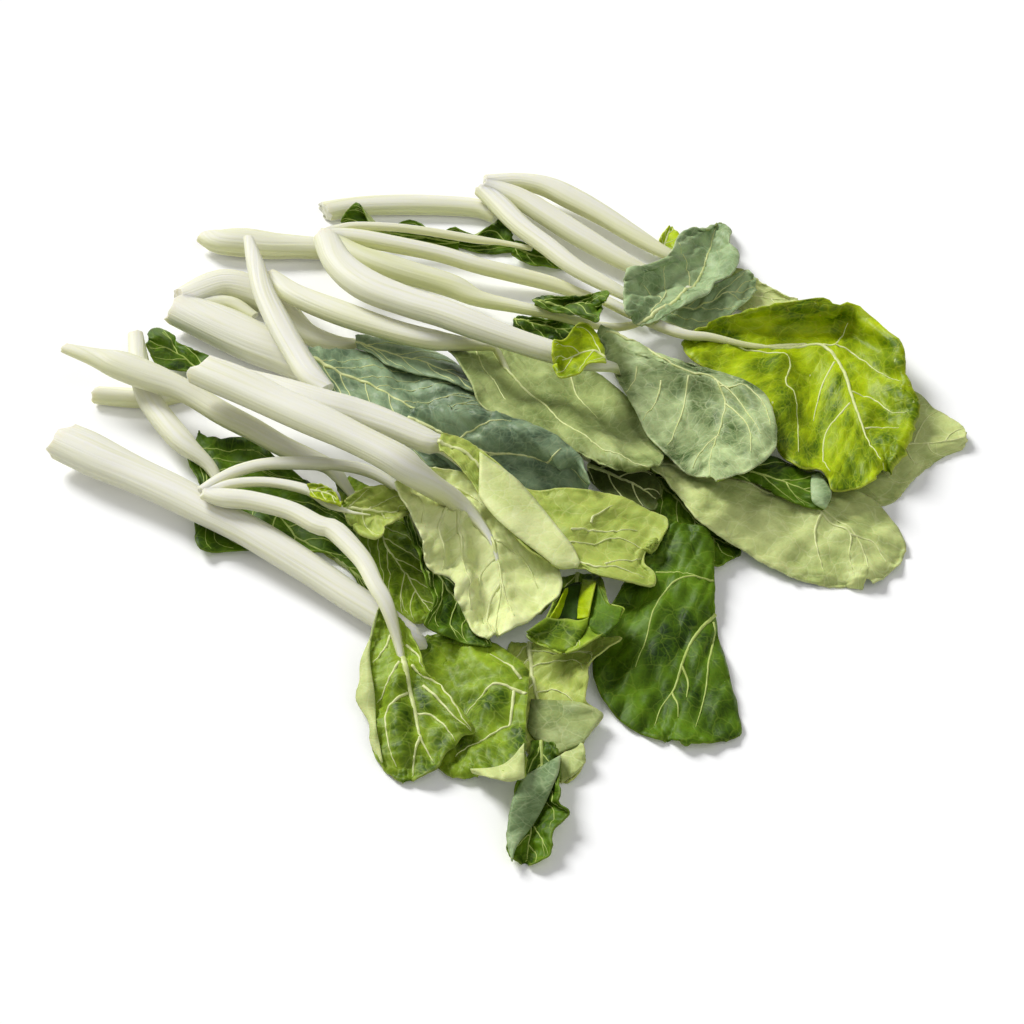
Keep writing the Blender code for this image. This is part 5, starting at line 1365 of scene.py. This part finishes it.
def add_vein(body, sheet, path, rise, slot):
    """Add one vein: a low ridge along its path, with its edges and its underside sunk into the sheet."""
    place = read_grid(sheet.middle, path[:, 0], path[:, 1])
    normal = unit(read_grid(sheet.normal, path[:, 0], path[:, 1]))
    side = unit(np.cross(normal, unit(np.gradient(place, axis=0))))
    half = path[:, 2] / 2
    skin = SHEET_THICKNESS / 2 + VEIN_LIFT
    foot, shoulder = skin - 0.12 - 0.2 * half, skin + 0.6 * rise * half
    ridge = ((-1.0, foot), (-0.55, shoulder), (0.0, skin + rise * half), (0.55, shoulder), (1.0, foot))
    lines = [place + side * (share * half)[:, None] + normal * lift[:, None] for share, lift in ridge]
    lines.append(place + normal * (skin - 0.2 * half - 0.3)[:, None])
    count, sides = len(path), len(lines)
    faces = grid_faces(count, sides, 0, False, True)
    faces.append(tuple(range(sides))[::-1])
    faces.append(tuple((count - 1) * sides + step for step in range(sides)))
    length = np.r_[0.0, np.cumsum(np.linalg.norm(np.diff(place, axis=0), axis=1))]
    mm = np.stack([np.tile(np.arange(float(sides)), count), np.repeat(length, sides),
                   np.zeros(count * sides)], axis=-1)
    body.add(above_table(np.stack(lines, axis=1)), faces, slot, leaf_mm=mm, vein_gap=0.0)


def add_fold(body, sheet, fold, slots):
    """Add one folded or curled part of a blade: a thin strip from its low line to its high line."""
    low, high = (smooth_line(line, FOLD_ROWS) for line in fold[:2])
    low_rise, high_rise, bulge = fold[2:5]
    share = np.linspace(0.0, 1.0, FOLD_COLUMNS)
    grid = low[:, None] + (high - low)[:, None] * share[None, :, None]
    height, _ = sheet.height_at(grid.reshape(-1, 2))
    height = soften(height.reshape(grid.shape[:2]), 6)
    rise = low_rise + (high_rise - low_rise) * share + bulge * np.sin(math.pi * share)
    fade = np.sin(math.pi * np.linspace(0.06, 0.94, FOLD_ROWS)) ** 0.4
    middle = real_place(grid, height + SHEET_THICKNESS + rise[None, :] * fade[:, None])
    rim = np.full(grid.shape[:2], 3.0)
    rim[:, -2:] = (0.8, 0.0)
    mm = np.concatenate([grid, np.zeros(grid.shape[:2] + (1,))], axis=2)
    values = {"leaf_mm": mm, "vein_gap": np.full(grid.shape[:2], 4.0), "edge_gap": rim}
    add_sheet(body, middle, normals_of(middle), values, slots)
    return middle


def sink_stalk(name, line, half, height, sheet):
    """Narrow a stalk over its own blade and sink it. Gives its half width and height, how far its skin may
    reach down and up, how far each station is over the blade, and the share of the way over it."""
    under, far = sheet.height_at(line[:, :2])
    covered = name in COVERED
    length, near, rounds = COVERED_SINK if covered else USUAL_SINK
    over = np.clip(np.cumsum(far < near) * (STALK_FINE_STEP / length), 0.0, 1.0) * (far < 3 * near)
    over = over * over * (3 - 2 * over)
    way = np.cumsum(far < near) / max(1, np.sum(far < near))
    start, least = RIB_TAPER.get(name, DEFAULT_TAPER)
    narrow = 1 - (1 - least) * np.clip((way - start) / (1 - start), 0.0, 1.0) ** 0.8
    half = half * np.where(way > 0, narrow, 1.0)
    thick = half * STALK_FLATNESS
    dive = np.clip((way - DIVE_FROM.get(name, DEFAULT_DIVE)) / DIVE_LENGTH, 0.0, 1.0)
    below = thick + 1.4 if covered else 0.25 * thick - 0.1 + (thick + 1.2) * dive
    drop = np.minimum(under - below - height, 0.0) * over
    for _ in range(rounds):
        drop[1:-1] = (drop[:-2] + 2 * drop[1:-1] + drop[2:]) / 4
        drop[-1] = drop[-2]
    height = height + drop
    high = np.where((over > 0.99) & covered, under - 1.2 - height, NO_LIMIT)
    low = np.where(over > 0.05, np.minimum(under - 0.45 - height, -0.2 * thick), -NO_LIMIT)
    return half, height, low, high, over, way


def add_cap(body, ring, back, flip, slot, brown):
    """Close one end of a stalk: a sloping rim and a face set back a little."""
    sides = len(ring)
    centre = ring.mean(axis=0)
    cap = above_table(np.vstack([ring, centre + (ring - centre) * 0.72 - back]))
    fan = [(side, (side + 1) % sides, sides + (side + 1) % sides, sides + side) for side in range(sides)]
    fan.append(tuple(sides + side for side in range(sides)))
    body.add(cap, [face[::-1] if flip else face for face in fan], slot, leaf_mm=cap, tint=brown, end=0.0)


def add_stalk(body, name, coarse, sheet, slots):
    """Add one stalk: a tube with faint ribs that sinks into the back of its own blade. Gives its points."""
    line = stalk_plan(name, 12, lambda length: int(length / STALK_FINE_STEP))
    count = len(line)
    half = np.maximum(line[:, 2] * STALK_TRIM, THINNEST_FINE_STALK) / 2.0
    height = round_weights(len(coarse), np.linspace(0.0, 1.0, count)) @ coarse
    low, high = np.full(count, -NO_LIMIT), np.full(count, NO_LIMIT)
    green = np.full(count, STALK_TINT[name])
    if sheet is not None:
        half, height, low, high, over, way = sink_stalk(name, line, half, height, sheet)
        green = np.maximum(green + over * RIB_GREEN, way ** 1.5)
    thick = half * STALK_FLATNESS
    middle = real_place(line[:, :2], height)
    along, across, upward = tube_frame(middle)
    turns = np.arange(STALK_FINE_SIDES) * 2 * math.pi / STALK_FINE_SIDES
    seed = seed_of(name)
    chance = np.random.default_rng(seed)
    ribs = 1 + 0.026 * np.cos(6 * turns + chance.uniform(0, 6))
    ribs = ribs + 0.016 * np.cos(11 * turns + chance.uniform(0, 6))
    step = np.arange(count)[:, None] * STALK_FINE_STEP
    swell = 1 + 0.035 * np.sin(step / 23.0 + seed) + 0.02 * np.sin(step / 9.0 + 2 * seed)
    wide = half[:, None] * np.sign(np.cos(turns)) * np.abs(np.cos(turns)) ** 0.88 * ribs * swell
    rise = np.sign(np.sin(turns)) * np.abs(np.sin(turns)) ** 0.92
    tall = thick[:, None] * np.where(rise < 0, rise * 0.9, rise) * ribs * swell
    tall = np.minimum(np.maximum(tall, low[:, None]), high[:, None])
    corners = middle[:, None] + across[:, None] * wide[..., None] + upward[:, None] * tall[..., None]
    corners = above_table(corners)
    lean = np.cos(turns + chance.uniform(0, 6))[:, None] * (along[0] * (0.5 * half[0]))
    torn = soften(chance.uniform(-1, 1, (1, STALK_FINE_SIDES)), 1)[0]
    torn = torn + 0.5 * chance.uniform(-1, 1, STALK_FINE_SIDES)
    corners[0] += lean * 0.3 + along[0] * (0.16 * half[0] * torn)[:, None]
    points = above_table(corners).reshape(-1, 3)
    reach = np.r_[0.0, np.cumsum(np.linalg.norm(np.diff(middle, axis=0), axis=1))]
    reach = np.repeat(reach, STALK_FINE_SIDES)
    around = np.tile(turns, count) * np.repeat(half, STALK_FINE_SIDES)
    mm = np.stack([around, reach, np.full(len(points), seed % 40)], axis=-1)
    # Its edge_gap falls to nought at the two sides of the tube, where its look paints shade.
    body.add(points, grid_faces(count, STALK_FINE_SIDES, 0, True, True), slots[0], leaf_mm=mm,
             edge_gap=1 - np.abs(np.tile(np.cos(turns), count)), tint=np.repeat(green, STALK_FINE_SIDES),
             end=reach)
    add_cap(body, corners[0], along[0] * 0.7, True, slots[1], BROWN_ENDS.get(name, USUAL_BROWN))
    add_cap(body, corners[-1], along[-1] * -0.3, False, slots[1], 0.0)
    return points


class Number:
    """A number that varies over a surface. Sums on it add Math nodes to its material."""

    def __init__(self, look, socket):
        self.look, self.socket = look, socket

    def sum(self, operation, *items, clamp=False):
        settings = {"operation": operation, "use_clamp": clamp}
        return self.look.node("ShaderNodeMath", 0, settings, dict(enumerate(items)))

    def __add__(self, other):
        return self.sum("ADD", self, other)

    def __mul__(self, other):
        return self.sum("MULTIPLY", self, other)

    def __sub__(self, other):
        return self.sum("SUBTRACT", self, other)

    def __rsub__(self, other):
        return self.sum("SUBTRACT", other, self)

    def __pow__(self, other):
        return self.sum("POWER", self, other)

    __radd__ = __add__
    __rmul__ = __mul__

    def rise(self, low, high):
        """0 under the low value, 1 over the high one."""
        return self.sum("MULTIPLY", self - low, 1.0 / (high - low), clamp=True)


class Look:
    """A material whose varying values are written as sums."""

    def __init__(self, name, **fixed):
        self.material = bpy.data.materials.new(name)
        self.material.use_nodes = True
        self.tree = self.material.node_tree
        self.skin = self.tree.nodes["Principled BSDF"]
        for key, value in fixed.items():
            self.skin.inputs[key.replace("_", " ")].default_value = value

    def node(self, kind, output, settings, sockets):
        item = self.tree.nodes.new(kind)
        for key, value in settings.items():
            setattr(item, key, value)
        for key, value in sockets.items():
            self.feed(item.inputs[key], value)
        return Number(self, item.outputs[output])

    def feed(self, socket, value):
        if isinstance(value, Number):
            self.tree.links.new(value.socket, socket)
        elif isinstance(value, tuple) and len(value) == 3 and len(socket.default_value) == 4:
            socket.default_value = (*value, 1.0)
        else:
            socket.default_value = value

    def read(self, name, output="Fac"):
        return self.node("ShaderNodeAttribute", output, {"attribute_name": name}, {})

    def noise(self, place, scale, detail=2.0, output=0):
        sockets = {"Vector": place, "Scale": scale, "Detail": detail}
        return self.node("ShaderNodeTexNoise", output, {}, sockets)

    def cells(self, place, scale):
        settings = {"feature": "DISTANCE_TO_EDGE"}
        return self.node("ShaderNodeTexVoronoi", 0, settings, {"Vector": place, "Scale": scale})

    def mix(self, first, second, share):
        return self.node("ShaderNodeMix", 2, {"data_type": "RGBA"}, {0: share, 6: first, 7: second})

    def move(self, operation, first, second):
        sockets = {0: first, 1: second} if operation != "SCALE" else {0: first, "Scale": second}
        return self.node("ShaderNodeVectorMath", 0, {"operation": operation}, sockets)

    def finish(self, color, roughness, height, depth, strength):
        self.feed(self.skin.inputs["Base Color"], color)
        self.feed(self.skin.inputs["Roughness"], roughness)
        sockets = {"Height": height, "Distance": depth * MM, "Strength": strength}
        bump = self.node("ShaderNodeBump", 0, {}, sockets)
        self.feed(self.skin.inputs["Normal"], bump)
        return self.material


def leaf_look(name, deep, light, vein, net, gloss, edge):
    """The face of a blade: green blotched partly in its own tones and partly with painted light and shade, a
    fine net of veins and puffed cells between them.
    """
    look = Look(name, Specular_IOR_Level=0.14, Subsurface_Weight=0.06, Subsurface_Scale=0.002)
    place = look.read("leaf_mm", "Vector")
    gap = look.read("vein_gap")
    rim = look.read("edge_gap")
    bend = look.move("SCALE", look.noise(place, 0.13, 2.0, output=1), 4.0)
    bent = look.move("ADD", place, bend)
    broad = look.noise(place, 0.04, 2.0)
    tone_and_shade_patches = look.noise(place, 0.12, 3.0)
    grain = look.noise(place, 0.9, 3.0)
    wide_net = look.cells(bent, 0.10)
    fine_net = look.cells(bent, 0.30)
    # Broad blotches between the deep and the light green: partly the leaf's own uneven tone, partly painted
    # light and shade standing in for its folds and hollows.
    color = look.mix(deep, light, broad.rise(0.4, 0.6) * 0.6 + tone_and_shade_patches.rise(0.4, 0.7) * 0.4)
    color = look.mix(color, light, (1 - gap.rise(0.1, 3.0)) ** 2.0 * 0.5)
    color = look.mix(color, vein, (1 - wide_net.rise(0.004, 0.035)) * net)
    color = look.mix(color, light, (1 - fine_net.rise(0.01, 0.12)) * 0.25)
    color = look.mix(color, tuple(part * 0.6 for part in deep), grain.rise(0.5, 0.8) * 0.2)
    color = look.mix(color, vein, (1 - rim.rise(0.1, 0.8)) * edge)
    height = wide_net.rise(0.0, 0.5) * 0.8 + fine_net.rise(0.0, 0.4) * 0.16 + grain * 0.02
    return look.finish(color, grain * 0.12 + (gloss - 0.06), height, 0.7, 0.5)


def vein_look(name, pale, green):
    look = Look(name, Specular_IOR_Level=0.2)
    place = look.read("leaf_mm", "Vector")
    shade = look.noise(place, 0.22, 2.0)
    grain = look.noise(place, 1.3, 2.0)
    return look.finish(look.mix(pale, green, shade.rise(0.45, 0.8)), grain * 0.2 + 0.3, grain, 0.15, 0.5)


def stalk_look():
    """Pale, moist stalk flesh with long fibres, greener where its tint says, and greener at its sides as
    painted shade.
    """
    look = Look("stalk_flesh", Specular_IOR_Level=0.22, Subsurface_Weight=0.4, Subsurface_Scale=0.005,
                Subsurface_Radius=(1.0, 0.95, 0.6))
    place = look.read("leaf_mm", "Vector")
    tint = look.read("tint")
    end = look.read("end")
    streak = look.noise(look.move("MULTIPLY", place, (0.7, 0.012, 0.4)), 1.0, 4.0)
    broad = look.noise(look.move("MULTIPLY", place, (0.12, 0.012, 0.3)), 1.0, 2.0)
    grain = look.noise(place, 0.8, 3.0)
    # The sides of the tube turn greener: painted shade of the sides that turn away from the top, and partly
    # the stalk's own green where its tint is strong.
    side = 1 - look.read("edge_gap").rise(0.0, 0.62)
    color = look.mix((0.85, 0.84, 0.77), (0.80, 0.79, 0.62), streak.rise(0.35, 0.75))
    color = look.mix(color, (0.66, 0.70, 0.22), side * (tint * 0.7 + 0.25))
    color = look.mix(color, (0.68, 0.70, 0.28), broad.rise(0.40, 0.70) * tint)
    color = look.mix(color, (0.72, 0.73, 0.40), tint * 0.25)
    color = look.mix(color, (0.70, 0.74, 0.33), tint.rise(0.6, 1.0) * 0.8)
    color = look.mix(color, (0.70, 0.71, 0.44), streak.rise(0.58, 0.68) * 0.30)
    color = look.mix(color, (0.76, 0.58, 0.42), (1 - end.rise(0.3, 4.0)) * grain.rise(0.40, 0.7) * 0.32)
    return look.finish(color, grain * 0.14 + 0.44, streak + grain * 0.12, 0.7, 0.7)


def cut_look():
    """A cut end: moist and pale, browned where its tint says."""
    look = Look("cut_end", Specular_IOR_Level=0.2)
    grain = look.noise(look.read("leaf_mm", "Vector"), 0.6, 4.0)
    color = look.mix((0.86, 0.86, 0.72), (0.74, 0.76, 0.50), grain.rise(0.4, 0.7))
    color = look.mix(color, (0.42, 0.20, 0.07), grain.rise(0.25, 0.6) * look.read("tint"))
    return look.finish(color, grain * 0.2 + 0.4, grain, 0.4, 0.6)


def make_looks():
    looks = {name: leaf_look(name, *values) for name, (_, _, *values) in FACES.items()}
    looks["vein"] = vein_look("vein", (0.74, 0.78, 0.38), (0.56, 0.66, 0.18))
    looks["thin_vein"] = vein_look("thin_vein", (0.50, 0.60, 0.16), (0.28, 0.40, 0.06))
    looks["stalk"] = stalk_look()
    looks["cut"] = cut_look()
    return looks


def make_piece(node, body, looks, order):
    """One finished piece that stands for a solid of the same name."""
    mesh = bpy.data.meshes.new(node + "_fine")
    mesh.from_pydata(((np.vstack(body.points) - CENTRE) * MM).tolist(), [], body.faces)
    for name in order:
        mesh.materials.append(looks[name])
    mesh.polygons.foreach_set("material_index", body.slots)
    mesh.polygons.foreach_set("use_smooth", [True] * len(mesh.polygons))
    for key, parts in body.values.items():
        kind, field = ("FLOAT_VECTOR", "vector") if key == "leaf_mm" else ("FLOAT", "value")
        mesh.attributes.new(key, kind, "POINT").data.foreach_set(field, np.concatenate(parts).ravel())
    mesh.update()
    piece = bpy.data.objects.new(node + "_fine", mesh)
    bpy.context.scene.collection.objects.link(piece)
    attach(piece, "root")
    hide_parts(node)


def finish_blade(name, sheet, looks, field):
    """Make the finished piece of one blade, with its veins and folded parts."""
    face = LOOKS.get(name, DEFAULT_LOOK)[0]
    slot, back = FACES[face][:2]
    order = [face, face if name in SAME_BACK else back, "thin_vein" if face == "dark_face" else "vein"]
    body = Body()
    mm = np.stack([sheet.across, np.repeat(sheet.along[:, None], sheet.across.shape[1], 1),
                   np.full(sheet.across.shape, seed_of(name) % 50)], axis=-1)
    values = {"leaf_mm": mm, "vein_gap": sheet.gap, "edge_gap": sheet.edge}
    add_sheet(body, sheet.middle, sheet.normal, values, (0, 1, 0))
    for path in sheet.paths:
        add_vein(body, sheet, path, PALE_RISE if face.endswith("back") else GREEN_RISE, 2)
    for fold in FOLDS.get(name, []):
        order.append(fold[5])
        folded = add_fold(body, sheet, fold, (len(order) - 1, 1, len(order) - 1))
        field.add(folded.reshape(-1, 3))
    make_piece(name, body, looks, order)


def finish_pile(stalks, blades, looks):
    """Make every piece fine, from the table up, each on those that are under it."""
    field = HeightField()
    bodies = {}
    for stalk, blade in PILE:
        sheet = None
        if blade:
            sheet = Sheet(blade, blades[blade][1], field)
            finish_blade(blade, sheet, looks, field)
            field.add((sheet.middle + sheet.normal * SHEET_THICKNESS / 2).reshape(-1, 3))
        if stalk:
            body = bodies.setdefault(HEAD_OF.get(stalk, stalk + "_stalk"), Body())
            field.add(add_stalk(body, stalk, stalks[stalk][2], sheet, (0, 1)))
    for node, body in bodies.items():
        make_piece(node, body, looks, ["stalk", "cut"])


def add_table():
    mesh = bpy.data.meshes.new("table_top")
    corners = [(x * TABLE_HALF, y * TABLE_HALF, 0) for x, y in ((-1, -1), (1, -1), (1, 1), (-1, 1))]
    mesh.from_pydata(corners, [], [(0, 1, 2, 3)])
    white = Look("white_table", Base_Color=(0.96, 0.96, 0.96, 1.0), Roughness=0.9, Specular_IOR_Level=0.1,
                 Emission_Color=(1.0, 1.0, 1.0, 1.0), Emission_Strength=0.06)
    mesh.materials.append(white.material)
    table = bpy.data.objects.new("table_top", mesh)
    bpy.context.scene.collection.objects.link(table)


def add_lights():
    """A soft sun from the back left, a weak one from the front right, and even light from all round."""
    for name, (place, spread, power) in SUNS.items():
        light = bpy.data.lights.new(name, "SUN")
        light.angle = spread
        light.energy = power
        lamp = bpy.data.objects.new(name, light)
        lamp.location = place
        lamp.rotation_euler = (-Vector(place)).to_track_quat("-Z", "Y").to_euler()
        bpy.context.scene.collection.objects.link(lamp)
    world = bpy.data.worlds.new("soft_room")
    world.use_nodes = True
    world.node_tree.nodes["Background"].inputs["Color"].default_value = (1.0, 1.0, 1.0, 1.0)
    world.node_tree.nodes["Background"].inputs["Strength"].default_value = ROOM_LIGHT
    bpy.context.scene.world = world


def add_camera():
    """The camera at the eye that the leaves are planned from."""
    lens = bpy.data.cameras.new("camera")
    lens.lens = LENS
    lens.sensor_width = SENSOR
    lens.clip_end = 20.0
    camera = bpy.data.objects.new("camera", lens)
    eye = Vector((0.0, -EYE_BACK, EYE_HIGH))
    camera.location = (eye - Vector(CENTRE)) * MM
    camera.rotation_euler = (-eye).to_track_quat("-Z", "Y").to_euler()
    bpy.context.scene.collection.objects.link(camera)
    bpy.context.scene.camera = camera
    bpy.context.scene.view_settings.view_transform = "Standard"


LAID_STALKS, LAID_BLADES = lay_pile()
CENTRE = centre_of(LAID_STALKS, LAID_BLADES)
finish_pile(LAID_STALKS, LAID_BLADES, make_looks())
add_table()
add_lights()
add_camera()
